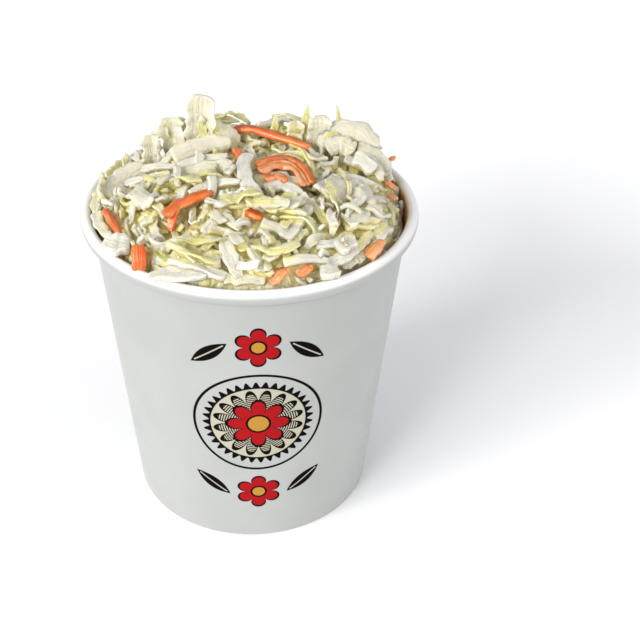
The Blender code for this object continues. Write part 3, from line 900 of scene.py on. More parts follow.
         ((2.6, -8, 13.6), (6.6, -4.6, 13.9), (10.2, -4.2, 13.5), (13.4, -9.4, 13.5),
          (14.6, -14.6, 12.8))),
        (2.6, 1.7, 0.6, 0.6, 0.0, -20, ((4.2, -11.6, 13), (7.4, -9.8, 13.2), (9.8, -12.5, 13.2))),
        (3.6, 1.9, 0.1, 0.8, 0.0, -25,
         ((-22.8, -23.6, 8.8), (-17.9, -18.5, 10.2), (-10.6, -15.6, 11.2))),
        (2.8, 1.7, 0.0, 0.5, 0.0, 10, ((-20, -20.4, 9.6), (-21.2, -23.6, 7.8), (-21.8, -25.2, 4.9))),
        (2.6, 1.7, 0.1, 0.5, 0.0, -30, ((-40.4, -11.4, 3.4), (-38.1, -17.6, 3.8), (-35.4, -23.7, 3.2))),
        (4.2, 2.2, 0.0, 0.9, 0.0, 0, ((-29.9, -32, 4.4), (-29.6, -34.6, 2.8), (-29.5, -36.2, -0.6))),
        (2.8, 1.7, 0.2, 0.6, 0.0, -20, ((-1.1, -24, 10), (0.8, -25.3, 10), (2.9, -26.2, 9))),
        (3.3, 1.8, 0.9, 0.7, 0.0, -20, ((31.2, -32.4, 0.6), (33.3, -30.7, 2.3), (35.8, -27.2, 2.6))),
        (3.3, 1.8, 1.0, 0.7, 0.0, -20, ((4.8, -43.8, 0.2), (7.2, -42.7, 1.9), (9.3, -40.9, 2.8))),
        (2.4, 1.5, 0.7, 0.5, 0.0, -10, ((12.2, -42, 1.2), (13.9, -41.1, 2.1), (16.1, -40.2, 2.6))),
        (1.9, 1.3, 0.9, 0.5, 0.0, 20, ((39.7, 4.3, 3.6), (41.4, 4.1, 2.3), (42.8, 4.2, 0.9))),
        (2.0, 1.3, 1.0, 0.5, 0.0, 0, ((40.2, -0.6, 1.9), (41.1, -1.9, 2), (41.9, -3.2, 1.8))),
        (2.6, 1.5, 0.0, 0.6, 0.0, 0, ((-4.3, 7.6, 12.6), (-3.6, 4, 13.3), (-2.9, 0.6, 13.8))),
        (1.5, 1.1, 0.9, 0.5, 0.0, 0, ((38.6, 10.4, 4.6), (41, 12, 6.2), (43.4, 13.6, 6.8))),
        (2.8, 1.6, 0.1, 0.6, 0.0, 0, ((-14, 38.6, 1.6), (-9, 40.4, 1.4), (-3, 41, 1))),
        (3.2, 1.8, 0.4, 0.6, 0.0, 0, ((9, 39, 2.2), (15, 37.6, 2.4), (20.4, 34, 3.4))),
        (2.6, 1.6, 0.7, 0.6, 0.0, 0, ((30.6, 27, 1.8), (33.4, 23, 2.4), (35.6, 18, 3))),
    ],
}
print("placed shreds:", {kind: len(rows) for kind, rows in PLACED.items()})

# %% Curves through places


def through(t):
    """Weights of four neighbouring points for a curve that passes through its points."""
    return (-0.5 * t + t**2 - 0.5 * t**3, 1 - 2.5 * t**2 + 1.5 * t**3,
            0.5 * t + 2 * t**2 - 1.5 * t**3, -0.5 * t**2 + 0.5 * t**3)


def beside(t):
    """Weights of four neighbouring points for a curve that smooths its points."""
    return ((1 - t) ** 3 / 6, (3 * t**3 - 6 * t**2 + 4) / 6,
            (-3 * t**3 + 3 * t**2 + 3 * t + 1) / 6, t**3 / 6)


def curve_weights(stations, share, rule):
    """A table that turns station values into values at given shares (0 to 1) of the curve.

    A point that the rule wants beyond an end is that end mirrored: twice the end less its
    neighbour, which makes the curve start and stop at the end stations.
    """
    place = share * (stations - 1)
    left = np.minimum(place.astype(int), stations - 2)
    row = np.arange(len(share))
    table = np.zeros((len(share), stations + 2))
    for offset, weight in enumerate(rule(place - left)):
        table[row, left + offset] += weight
    inner = table[:, 1:-1].copy()
    inner[:, 0] += 2 * table[:, 0]
    inner[:, 1] -= table[:, 0]
    inner[:, -1] += 2 * table[:, -1]
    inner[:, -2] -= table[:, -1]
    return inner


print("weights half way along four places:", curve_weights(4, np.array([0.5]), through).round(3))

# %% Lay the chosen shreds


def unit(vectors):
    """Vectors at length one."""
    return vectors / (np.linalg.norm(vectors, axis=-1, keepdims=True) + 1e-9)


def path_lattice(places, width, cup, turn, stations):
    """Lattice along a smooth path: even steps, outer rows level unless turned or cupped."""
    places = np.array(places) + (0, 0, CUP_HEIGHT)
    fine = curve_weights(len(places), np.linspace(0, 1, 60), through) @ places
    run = np.concatenate(([0.0], np.cumsum(np.linalg.norm(np.diff(fine, axis=0), axis=1))))
    even = np.linspace(0.0, run[-1], stations)
    middle = np.column_stack([np.interp(even, run, fine[:, axis]) for axis in range(3)])
    along = unit(np.gradient(middle, axis=0))
    aside = unit(np.cross((0.0, -0.3, 1.0), along))
    turn = math.radians(turn)
    across = aside * math.cos(turn) + np.cross(along, aside) * math.sin(turn)
    normal = np.cross(along, across)
    edges = [middle + (normal * cup + across * side) * width / 2 for side in (-1, 1)]
    return np.stack((edges[0], middle, edges[1]), axis=1)


def placed_strips(kind):
    """The chosen shreds of one kind, as a batch that starts where it stays."""
    width, thick, leaf, tip, cup, turn, places = zip(*PLACED[kind])
    stations = KINDS[kind].stations
    lattice = np.array([path_lattice(*row, stations) for row in zip(places, width, cup, turn)])
    return {"kind": kind, "rest": lattice, "now": lattice.copy(), "thick": np.array(thick),
            "leaf": np.array(leaf), "tip": np.array(tip), "slant": np.zeros((len(width), 2))}


placed = [placed_strips(kind) for kind in KINDS if kind in PLACED]
print("points of the placed lattices:", sum(batch["rest"].size // 3 for batch in placed))

# %% [markdown]
# ## Where the loose shreds start
#
# The loose shreds start spread over the whole top in layers, at random headings, but near the
# wall they lie along it. Dropped one by one they would take long to settle, so they start only
# a little above where they end, and the simulation does the rest.

# %% Scatter the shreds
SPREAD_RADIUS = 43.0
SPREAD_POWER = 0.47
WALL_SHARE = 0.85
START_GAP = 1.5
START_DEPTH = 13.0
SIFTED = {"rib_chunks": 0.45, "cabbage_bits": 0.45}
GOLDEN_TURN = math.pi * (3.0 - math.sqrt(5.0))


def rotation(heading, tilt, roll):
    """Rotation matrices: roll about the strip's length, then tilt, then heading in plan."""
    ch, sh, ct, st, cr, sr = (f(a) for a in (heading, tilt, roll) for f in (np.cos, np.sin))
    zero, one = np.zeros_like(ch), np.ones_like(ch)
    turn = np.stack((ch, -sh, zero, sh, ch, zero, zero, zero, one), -1).reshape(-1, 3, 3)
    rise = np.stack((ct, zero, -st, zero, one, zero, st, zero, ct), -1).reshape(-1, 3, 3)
    bank = np.stack((one, zero, zero, zero, cr, -sr, zero, sr, cr), -1).reshape(-1, 3, 3)
    return turn @ rise @ bank


def scatter(rng, batch):
    """Place each shred of a batch over the disc, in a random layer; chunks and bits lie low.

    Shreds follow one another round by the golden angle and outwards by a power of their
    number, as the seeds of a sunflower do, which leaves neither clumps nor gaps. A power of a
    half would spread them evenly, and a smaller one puts a few more near the wall.
    """
    count = len(batch["thick"])
    number = np.arange(count) + rng.random()
    radius = SPREAD_RADIUS * (number / count) ** SPREAD_POWER
    turn = number * GOLDEN_TURN + rng.normal(0, 0.15, count) + rng.uniform(0, 2 * math.pi)
    x, y = radius * np.cos(turn), radius * np.sin(turn)
    at_wall = radius > SPREAD_RADIUS * WALL_SHARE
    heading = rng.uniform(0, 2 * math.pi, count)
    heading = np.where(at_wall, turn + math.pi / 2 + rng.normal(0, 0.4, count), heading)
    turned_by = rotation(heading, rng.normal(0, 0.28, count), rng.normal(0, 0.55, count))
    placed_at = np.einsum("nij,nkrj->nkri", turned_by, batch["rest"])
    depth = START_DEPTH * SIFTED.get(batch["kind"], 1.0)
    level = ground_level(x, y) + START_GAP + depth * rng.random(count)
    batch["now"] = placed_at + np.stack((x, y, level), axis=-1)[:, None, None, :]


for batch in loose:
    scatter(rng, batch)
highest = max(batch["now"][..., 2].max() for batch in loose) - CUP_HEIGHT
print("highest loose point before settling:", round(highest, 1), "mm over the lip")

# %% [markdown]
# ## Settling
#
# Position-based dynamics is the simplest way to settle many strips: move every point by its
# speed and gravity, then correct the points again and again until lengths are kept, nothing
# overlaps and nothing is below the ground or outside the cup. Each kind of correction is one
# array step. The chosen shreds take part as fixed ones, so that the loose ones come to lie
# against and under them.

# %% Springs within a shred


def spring_groups(stations):
    """Pairs of lattice points to keep at their distance, in groups that share no point."""
    number = np.arange(stations * 3).reshape(stations, 3)
    groups = []
    for odd in (0, 1):
        one, two = number[odd:-1:2], number[odd + 1::2][: len(number[odd:-1:2])]
        groups.append((one.ravel(), two.ravel(), 1.0))
        groups.append((one[:, :2].ravel(), two[:, 1:].ravel(), 0.6))
        groups.append((one[:, 1:].ravel(), two[:, :2].ravel(), 0.6))
    groups.append((number[:, 0], number[:, 1], 1.0))
    groups.append((number[:, 1], number[:, 2], 1.0))
    groups.append((number[:, 0], number[:, 2], 0.5))
    for start in (0, 1, 2, 3):
        one = number[start:-2:4]
        groups.append((one.ravel(), (one + 6).ravel(), 0.35))
    return groups


def rest_lengths(batch):
    """Distances that the springs of a batch keep, from its rest lattices."""
    flat = batch["rest"].reshape(len(batch["thick"]), -1, 3)
    return [
        (one, two, stiff, np.linalg.norm(flat[:, two] - flat[:, one], axis=-1))
        for one, two, stiff in spring_groups(batch["rest"].shape[1])
    ]


def keep_lengths(points, springs):
    """Move both ends of every spring half way back to its rest length."""
    for one, two, stiff, rest in springs:
        gap = points[:, two] - points[:, one]
        length = np.linalg.norm(gap, axis=-1) + 1e-9
        move = gap * (0.5 * stiff * (length - rest) / length)[..., None]
        points[:, one] += move
        points[:, two] -= move


print("springs in a shred of nine stations:", sum(len(one) for one, *_ in spring_groups(9)))

# %% Contacts between shreds
CROWD_EASE = 0.6
NEIGHBOURS = [
    (dx, dy, dz)
    for dx in (-1, 0, 1) for dy in (-1, 0, 1) for dz in (-1, 0, 1)
    if (dx, dy, dz) >= (0, 0, 0)
]


def close_pairs(points, owner, reach):
    """Pairs of points of different shreds nearer than reach.

    Points are sorted by the cube of side reach that they lie in, so that the points of any
    neighbouring cube are one run of the sorted list.
    """
    cell = np.floor(points / reach).astype(np.int64)
    cell -= cell.min(axis=0) - 1
    size = cell.max(axis=0) + 2
    key = (cell[:, 0] * size[1] + cell[:, 1]) * size[2] + cell[:, 2]
    order = np.argsort(key, kind="stable")
    sorted_key = key[order]
    firsts, seconds = [], []
    for dx, dy, dz in NEIGHBOURS:
        wanted = key + (dx * size[1] + dy) * size[2] + dz
        low = np.searchsorted(sorted_key, wanted, "left")
        count = np.searchsorted(sorted_key, wanted, "right") - low
        first = np.repeat(np.arange(len(points)), count)
        run = np.arange(count.sum()) - np.repeat(np.cumsum(count) - count, count)
        second = order[np.repeat(low, count) + run]
        keep = owner[first] != owner[second]
        if (dx, dy, dz) == (0, 0, 0):
            keep &= first < second
        firsts.append(first[keep])
        seconds.append(second[keep])
    first, second = np.concatenate(firsts), np.concatenate(seconds)
    near = ((points[first] - points[second]) ** 2).sum(axis=1) < reach**2
    return first[near], second[near]


def part_overlaps(points, radii, free, pairs):
    """Push overlapping points apart, each less by the number of its contacts.

    Returns for each point whether it touches another one.
    """
    first, second = pairs
    gap = points[second] - points[first]
    distance = np.linalg.norm(gap, axis=1) + 1e-9
    overlap = radii[first] + radii[second] - distance
    hit = overlap > 0
    first, second, gap = first[hit], second[hit], gap[hit]
    share = free[first] + free[second] + 1e-9
    push = gap * (overlap[hit] / distance[hit] / share)[:, None]
    total = len(points)
    count = np.bincount(first, minlength=total) + np.bincount(second, minlength=total)
    ease = 1.0 / np.maximum(count, 1) ** CROWD_EASE
    for axis in range(3):
        moved = np.bincount(second, push[:, axis] * free[second], total)
        moved -= np.bincount(first, push[:, axis] * free[first], total)
        points[:, axis] += moved * ease
    return count > 0


print("neighbouring cubes that each cube is compared with:", len(NEIGHBOURS))

# %% Contacts with the ground and the cup
OVER_LIP = 45.3
OVER_LIP_LEAN = 0.2


def stay_inside(points, radii, ground):
    """Keep points over the ground, inside the wall and, above it, inside the heap's flank."""
    floor = ground(points[:, 0], points[:, 1]) + radii
    touching = points[:, 2] < floor
    points[:, 2] = np.maximum(points[:, 2], floor)
    radius = np.hypot(points[:, 0], points[:, 1]) + 1e-9
    over_lip = OVER_LIP - OVER_LIP_LEAN * np.maximum(points[:, 2] - CUP_HEIGHT, 0.0)
    limit = np.where(points[:, 2] < LIP_CENTRE[1], inner_radius(points[:, 2]), over_lip) - radii
    over = radius > limit
    points[over, :2] *= (limit[over] / radius[over])[:, None]
    return touching | over


print("wall at the lip:", round(inner_radius(LIP_CENTRE[1]), 2), "mm; over the lip:", OVER_LIP, "mm")

# %% Points that settle
FILM = 0.12
LEAST_RADIUS = 0.85


def particles(moving, fixed):
    """All points, each with its radius, its shred's number and 1 if it is free to move."""
    every = moving + fixed
    radii, owner, free, shred = [], [], [], 0
    for number, batch in enumerate(every):
        each = batch["now"].shape[1] * 3
        count = len(batch["thick"])
        radii.append(np.repeat(np.maximum(batch["thick"] / 2 + FILM, LEAST_RADIUS), each))
        owner.append(np.repeat(np.arange(count) + shred, each))
        free.append(np.full(count * each, 1.0 if number < len(moving) else 0.0))
        shred += count
    points = np.concatenate([batch["now"].reshape(-1, 3) for batch in every])
    return points, *(np.concatenate(part) for part in (radii, owner, free))


print("points that settle or stay:", len(particles(loose, placed)[0]))

# %% The settling loop
PULL_DOWN = 0.10
TOP_SPEED = 0.9
CORRECTIONS = 4
SPEED_KEPT = 0.93
GRIP = 0.12
PAIR_REACH = 3.4
PAIR_EVERY = 3


def settle(moving, fixed, steps, ground):
    """Settle the batches that move among those that are fixed, in place.

    Each step adds gravity to the speed and the speed to the place. After the corrections, the
    speed is what the points have moved, less for those that touch something.
    """
    points, radii, owner, free = particles(moving, fixed)
    held = free == 0.0
    kept = points[held].copy()
    starts = np.cumsum([0] + [batch["now"].size // 3 for batch in moving])
    views = [points[start:end].reshape(len(batch["thick"]), -1, 3)
             for start, end, batch in zip(starts, starts[1:], moving)]
    springs = [rest_lengths(batch) for batch in moving]
    speed = np.zeros_like(points)
    pairs = None
    for step in range(steps):
        before = points.copy()
        speed[:, 2] -= PULL_DOWN
        fast = np.linalg.norm(speed, axis=1, keepdims=True)
        speed *= np.minimum(1.0, TOP_SPEED / np.maximum(fast, 1e-9))
        points += speed * free[:, None]
        if step % PAIR_EVERY == 0:
            pairs = close_pairs(points, owner, PAIR_REACH)
        touching = np.zeros(len(points), bool)
        for _ in range(CORRECTIONS):
            for view, spring in zip(views, springs):
                keep_lengths(view, spring)
            touching |= part_overlaps(points, radii, free, pairs)
            touching |= stay_inside(points, radii, ground)
            points[held] = kept
        speed = (points - before) * SPEED_KEPT
        speed[touching] *= GRIP
    for view, batch in zip(views, moving):
        batch["now"] = view.reshape(batch["rest"].shape).copy()
    print(f"settled {sum(len(b['thick']) for b in moving)} shreds in {steps} steps;",
          f"last speed {np.linalg.norm(speed, axis=1).mean():.4f} mm a step,",
          f"highest point {points[:, 2].max() - CUP_HEIGHT:.1f} mm over the lip")


STEPS = 130
settle(loose, placed, STEPS, ground_level)

# %% [markdown]
# ## Tidy the pile
#
# Some loose shreds end up on a chosen one or hide it from the front. Those that hide too much
# of a carrot shred, a rib strip or a broad leaf are taken away again. The height of what is
# left is then compared with the heap's.

# %% Clear the chosen shreds
SIGHT_SLOPE = 0.7
HIDING_GAP = 2.5
HIDING_HEIGHTS = (0.4, 12.0)
CLEARED = {"carrot_shreds": 0.12, "rib_strips": 0.42, "broad_leaves": 0.30}


def covering(batch, chosen, most):
    """Which shreds of a batch have more than a share of their points over a chosen one.

    Over means along the line of sight from the front, which falls by SIGHT_SLOPE.
    """
    points = batch["now"].reshape(-1, 3)
    spots = curve_weights(chosen["now"].shape[1], np.linspace(0, 1, 24), through)
    spots = np.einsum("mk,nkc->nmc", spots, chosen["now"][:, :, 1]).reshape(-1, 3)
    gap = points[:, None, :] - spots[None, :, :]
    slid = gap[..., 1] + gap[..., 2] / SIGHT_SLOPE
    near = (np.abs(gap[..., 0]) < HIDING_GAP) & (np.abs(slid) < HIDING_GAP)
    low, high = HIDING_HEIGHTS
    hiding = (near & (gap[..., 2] > low) & (gap[..., 2] < high)).any(axis=1)
    return hiding.reshape(len(batch["thick"]), -1).mean(axis=1) > most


def keep_only(batch, keep, why):
    """Drop the shreds of a batch that aren't kept."""
    for label in ("rest", "now", "thick", "leaf", "tip", "slant"):
        batch[label] = batch[label][keep]
    print(f"{batch['kind']}: {int((~keep).sum())} of {len(keep)} taken away, {why}")


for batch in loose:
    hiding = [covering(batch, chosen, CLEARED[chosen["kind"]])
              for chosen in placed if chosen["kind"] in CLEARED]
    keep_only(batch, ~np.any(hiding, axis=0), "over a chosen shred")

# %% Measure the pile


def raise_tops(tops_grid, points):
    """Raise each cell of a height grid to the highest of the points over it."""
    flat = points.reshape(-1, 3)
    cell = np.round((flat[:, :2] + HEIGHT_REACH) / HEIGHT_STEP).astype(int)
    np.maximum.at(tops_grid, (cell[:, 0], cell[:, 1]), flat[:, 2])


pile = heap_height - LOOSE_DEPTH
for batch in loose:
    raise_tops(pile, batch["now"])
for name, inside in (
    ("middle", np.hypot(grid_x, grid_y) < 25.0),
    ("left flank", (grid_x < -25.0) & (pull == 1.0)),
    ("right flank", (grid_x > 25.0) & (pull == 1.0)),
    ("front flank", (grid_y < -25.0) & (pull == 1.0)),
    ("back flank", (grid_y > 25.0) & (pull == 1.0)),
):
    rise = (pile - heap_height)[inside]
    print(f"{name}: tops at {rise.mean():+.1f} mm from the heap's height, spread {rise.std():.1f}")
pile = blurred(pile, 2)

# %% [markdown]
# ## The core
#
# Under the shreds that can be seen lies packed salad: fine bits, deeper shreds and dressing
# that have run together. It is one closed form. Its top follows the settled pile a few
# millimetres down, then it goes down the inside of the wall and across the floor. Several
# hundred pressed shreds are raised in its top as relief, for those too deep to be seen whole.
# Shreds that end up wholly inside it are taken away.

# %% Level of the core
PACKED_DEPTH = 3.8
UNDER_HEAP = 1.6
WALL_ZONE = (36.0, 8.0)
WALL_LIFT = 1.4
WALL_LINE = (43.0, -0.7)
WALL_SLOPE = 1.3


def packed_level(x, y):
    """Top of the packed salad: below the pile's, less so beside the wall, and below the heap's.

    Near the wall it also stays below a slope that starts a little under the lip, so that no
    bare wall of packed salad stands over the lip.
    """
    radius = np.hypot(x, y)
    beside_wall = np.clip((radius - WALL_ZONE[0]) / WALL_ZONE[1], 0, 1)
    level = read_grid(pile, x, y) - PACKED_DEPTH + WALL_LIFT * beside_wall
    slope = CUP_HEIGHT + WALL_LINE[1] + WALL_SLOPE * (WALL_LINE[0] - radius)
    return np.minimum(np.minimum(level, slope), read_grid(heap_height, x, y) - UNDER_HEAP)


print("core over the lip in the middle:", round(packed_level(0.0, 0.0) - CUP_HEIGHT, 1), "mm")

# %% Press shreds into the core
CORE_WALL_GAP = 0.35
CORE_ROUND = 480
CORE_RINGS = 140
PRESSED = 900
CROWN = 1.2
LOWEST_RELIEF = -0.9


def pressed_shreds(x, y, rng):
    """Relief of short shreds pressed into a top, with the places and sizes its finish reads.

    Each shred is a long low hump: its rise, a tilt along and across it, and a crown that falls
    as the fourth power of the share of its half width and as the eighth of its half length.
    Where humps cross, the higher one is seen.
    """
    shape, x, y = x.shape, x.ravel(), y.ravel()
    relief = np.full(len(x), LOWEST_RELIEF)
    strand, look = np.zeros((len(x), 3)), np.zeros((len(x), 3))
    number = np.arange(PRESSED)
    far = top_radius * np.sqrt((number + 0.5) / PRESSED)
    turn = number * GOLDEN_TURN
    middle = np.column_stack((far * np.cos(turn), far * np.sin(turn)))
    middle += rng.normal(0, 0.6, middle.shape)
    for k in range(PRESSED):
        half_long, half_wide, heading = rng.uniform((3.0, 1.1, 0.0), (7.0, 2.3, math.pi))
        rise, bend = rng.uniform(-1.1, 0.6), rng.normal(0, 0.04)
        tilt, lean = rng.normal(0, 0.1, 2)
        gap_x, gap_y = x - middle[k, 0], y - middle[k, 1]
        near = np.flatnonzero(gap_x**2 + gap_y**2 < (1.25 * half_long + half_wide) ** 2)
        gap_x, gap_y = gap_x[near], gap_y[near]
        along = gap_x * math.cos(heading) + gap_y * math.sin(heading)
        across = gap_y * math.cos(heading) - gap_x * math.sin(heading) + bend * along**2
        fall = (across / half_wide) ** 4 + (along / half_long) ** 8
        hump = rise + tilt * along + lean * across + CROWN * (1.0 - fall)
        wins = hump > relief[near]
        seen = near[wins]
        relief[seen] = hump[wins]
        strand[seen] = np.column_stack((along[wins], across[wins], np.full(len(seen), k * 3.7)))
        look[seen] = (rng.uniform(0.0, 0.45), 0.0, rng.random())
    return relief.reshape(shape), strand.reshape(shape + (3,)), look.reshape(shape + (3,))


# %% Shape the core


def ring_points(radius, turn, level):
    """Points at radii and levels, one row for each angle."""
    x, y = radius * np.cos(turn)[:, None], radius * np.sin(turn)[:, None]
    return np.stack((x, y, np.broadcast_to(level, x.shape)), axis=-1)


rng = np.random.default_rng(5)
core_turn = np.linspace(0.0, 2 * math.pi, CORE_ROUND, endpoint=False)
top_radius = inner_radius(CUP_HEIGHT - 10.0) - CORE_WALL_GAP
top_rings = top_radius * np.linspace(0.001, 1.0, CORE_RINGS) ** 0.8
top = ring_points(top_rings[None, :], core_turn, 0.0)
relief, core_strand, core_look = pressed_shreds(top[..., 0], top[..., 1], rng)
top[..., 2] = packed_level(top[..., 0], top[..., 1]) + relief
down = np.linspace(0.0, 1.0, 24)[1:]
side_z = top[:, -1:, 2] * (1 - down) + FILLING_LOW * down
side_r = np.minimum(inner_radius(side_z) - CORE_WALL_GAP, top_radius)
under_r = side_r[:, -1:] * np.linspace(1.0, 0.004, 20)[1:]
core = np.hstack((top, ring_points(side_r, core_turn, side_z),
                  ring_points(under_r, core_turn, FILLING_LOW)))
below_top = core.shape[1] - top.shape[1]
core_strand, core_look = (
    np.concatenate((part, np.repeat(part[:, -1:], below_top, axis=1)), axis=1)
    for part in (core_strand, core_look)
)
print(f"core top: {PRESSED} pressed shreds, relief {relief.min():.1f} to {relief.max():.1f} mm")

# %% Take away the buried shreds
BURIED = 0.2

for batch in loose:
    x, y, z = np.moveaxis(batch["now"], -1, 0)
    seen = (z > packed_level(x, y) + BURIED).any(axis=(1, 2))
    keep_only(batch, seen, "inside the core")

# %% [markdown]
# ## Shreds on the flanks
#
# Few loose shreds stay on the steep flanks beside the wall, because they slide down before they
# catch on others. In the real cup they stick there with the dressing. So the flanks are
# searched for places where the packed salad would be bare, and one more shred is laid flat on
# each. They are laid after the settling, which leaves the settled ones as they are.

# %% Cover the bare flanks
FLANK_BACK = 12.0
FLANK_SIDE = 31.0
FLANK_FRONT = -24.0
FLANK_REACH = 41.5
WALL_REACH = 42.6
BARE_RISE = 0.9
HALF_SHRED = 0.6


def laid_strip(x, y, stations, rng):
    """Lattice of a curved strip in plan, its middle at x, y, that follows the core's top."""
    share = np.linspace(-0.5, 0.5, stations)[:, None]
    length, width, lift = rng.uniform((8.0, 2.0, 0.8), (14.0, 3.4, 1.6))
    heading = rng.uniform(0, 2 * math.pi) + rng.normal(0, 0.8) * share
    along = np.hstack((np.cos(heading), np.sin(heading)))
    aside = np.hstack((-np.sin(heading), np.cos(heading))) * width / 2
    middle = np.cumsum(along, axis=0) * length / (stations - 1)
    middle += (x, y) - middle.mean(axis=0)
    rows = np.stack((middle - aside, middle, middle + aside), axis=1)
    rows *= np.minimum(1.0, WALL_REACH / np.linalg.norm(rows, axis=-1, keepdims=True))
    ripple = 0.4 * np.sin(9.0 * share + rng.uniform(0, 6))
    level = read_grid(core_tops, rows[..., 0], rows[..., 1]) + lift + ripple
    return np.concatenate((rows, level[..., None]), axis=-1)


def flank_lattices(stations, rng):
    """One strip for each cell of the flanks that is still bare when its turn comes."""
    flank = (grid_y > FLANK_BACK) | (np.abs(grid_x) > FLANK_SIDE) & (grid_y > FLANK_FRONT)
    flank &= np.hypot(grid_x, grid_y) < FLANK_REACH
    laid = []
    for i, j in rng.permutation(np.argwhere(flank)):
        if core_tops[i, j] + BARE_RISE > shred_tops[i, j]:
            laid.append(laid_strip(grid_x[i, j], grid_y[i, j], stations, rng))
            raise_tops(shred_tops, laid[-1])
    return np.array(laid)


def flank_batch(kind, lattices, rng):
    """Laid strips as a batch of a kind."""
    count = len(lattices)
    return {"kind": kind, "rest": lattices, "now": lattices, "thick": rng.uniform(1.1, 1.6, count),
            "leaf": rng.uniform(*KINDS[kind].leaf, count), "tip": rng.uniform(0.4, 0.9, count),
            "slant": rng.uniform(-SLANT, SLANT, (count, 2))}


rng = np.random.default_rng(8)
core_tops = packed_level(grid_x, grid_y)
raise_tops(core_tops, top)
core_tops = blurred(core_tops, 1)
shred_tops = np.full(grid_x.shape, FLOOR_LEVEL)
for batch in loose + placed:
    raise_tops(shred_tops, batch["now"] + (0.0, 0.0, HALF_SHRED))
lattices = flank_lattices(KINDS["rib_strips"].stations, rng)
loose += [flank_batch(kind, lattices[first::2], rng)
          for first, kind in enumerate(("rib_strips", "leaf_strips"))]
print("shreds laid on bare flanks:", len(lattices))

# %% [markdown]
# ## Skin of a shred
#
# The lattice is only the shred's middle layer. Its surface is a small closed outline carried
# along it: across the strip the outline follows the curve through the three rows, and half the
# thickness to each side along the normal gives it body. Real shreds are cut by a blade, so the
# outline is a rounded bar and the ends are blunt. Torn leaf edges wander in and out, and grated
# carrot has ridges along it.

# %% Outlines and tapers of shreds
PROFILES = {
    # across the strip (-1 to 1) and through its thickness (-1 to 1), counterclockwise
    "bar": ((-1, -0.55), (-0.93, -1), (-0.6, -0.95), (0, -0.8), (0.6, -0.95), (0.93, -1),
            (1, -0.55), (1, 0.55), (0.93, 1), (0.6, 0.95), (0, 0.8), (-0.6, 0.95),
            (-0.93, 1), (-1, 0.55)),
    "ridged": ((-1, -0.3), (-0.88, -0.95), (-0.55, -0.6), (-0.22, -1), (0.15, -0.65), (0.5, -1),
               (0.85, -0.75), (1, 0), (0.88, 0.95), (0.5, 0.6), (0.15, 1), (-0.22, 0.65),
               (-0.55, 1), (-0.85, 0.6)),
}


def wandering(rng, count, samples, size):
    """Random values along each of two sides of every shred, smoothed over three rings."""
    raw = rng.normal(0, size, (count, samples + 2, 2))
    return (raw[:, :-2] + 2 * raw[:, 1:-1] + raw[:, 2:]) / 2.5


def ring_shares(samples):
    """Shares of the length where rings lie: even, with two close rings at each blunt end."""
    return np.concatenate(([0.0], np.linspace(0.035, 0.965, samples - 2), [1.0]))


def narrowing(tip, share, rounded):
    """Share of the width left at each ring.

    The far five ninths narrow to the tip's share, and the last 0.16 of the length is rounded.
    """
    narrow = 1 - (1 - tip) * np.clip(1.8 * share - 0.8, 0, 1) ** (1 + 2 * tip)
    return narrow * np.sqrt(1 - rounded * np.clip(share / 0.16 - 5.25, 0, 1) ** 2)


print("corners of the outlines:", {name: len(shape) for name, shape in PROFILES.items()})

# %% Carry the outline along the lattices
RUFFLE = 0.45


def shred_surface(batch, rng, samples, profile, ragged, blunt, rounded):
    """Rings of points round every shred, and the places and sizes that its finish reads.

    The outline's place across the strip, -1 to 1, picks a point on the parabola through the
    three rows. Its height through the strip moves that point along the normal.
    """
    count, stations = batch["now"].shape[:2]
    share = ring_shares(samples)
    rows = np.einsum("mk,nkrc->nmrc", curve_weights(stations, share, beside), batch["now"])
    shape = np.array(PROFILES[profile])
    ends = np.where((share == 0.0) | (share == 1.0), blunt, 1.0)
    narrow = narrowing(batch["tip"][:, None], share, rounded)
    side = (shape[:, 0] > 0).astype(int)
    edge = np.abs(shape[:, 0])
    reach = 1 + wandering(rng, count, samples, ragged)[:, :, side] * edge
    t = (shape[:, 0] * reach * (ends * narrow)[..., None])[..., None]
    left, middle, right = (rows[:, :, k, None, :] for k in range(3))
    sheet = left * (t * (t - 1) / 2) + middle * (1 - t * t) + right * (t * (t + 1) / 2)
    along = unit(np.gradient(rows[:, :, 1], axis=1))
    across = rows[:, :, 2] - rows[:, :, 0]
    width = np.linalg.norm(across, axis=-1)
    normal = unit(np.cross(along, across))
    slant = np.tan(np.radians(batch["slant"]))
    pull = np.where(share < 0.5, slant[:, :1], slant[:, 1:]) * (np.abs(2 * share - 1) ** 6)
    sheet = sheet + along[:, :, None] * (t[..., 0] * (pull * width / 2)[..., None])[..., None]
    ruffle = wandering(rng, count, samples, RUFFLE)[:, :, side] * edge**2
    ruffle = ruffle * (0.3 + batch["leaf"][:, None, None]) * (width / 4.0)[..., None]
    thin = 1 - 0.35 * batch["leaf"][:, None] * share
    body = (batch["thick"] / 2)[:, None] * thin * (1 + rng.normal(0, ragged, (count, samples)))
    body = body * (0.5 + 0.5 * ends)
    offset = shape[:, 1] * body[..., None] + ruffle
    surface = sheet + normal[:, :, None] * offset[..., None]
    return surface, rows, shape, width


example = shred_surface(placed[0], np.random.default_rng(0), 17, "bar", 0.0, 1.0, 0.0)
print("chosen rib strips, rings and corners:", example[0].shape[:3])

# %% Faces and attributes of a batch
CAP_RISE = 0.15
LEAF_DRIFT = 0.14


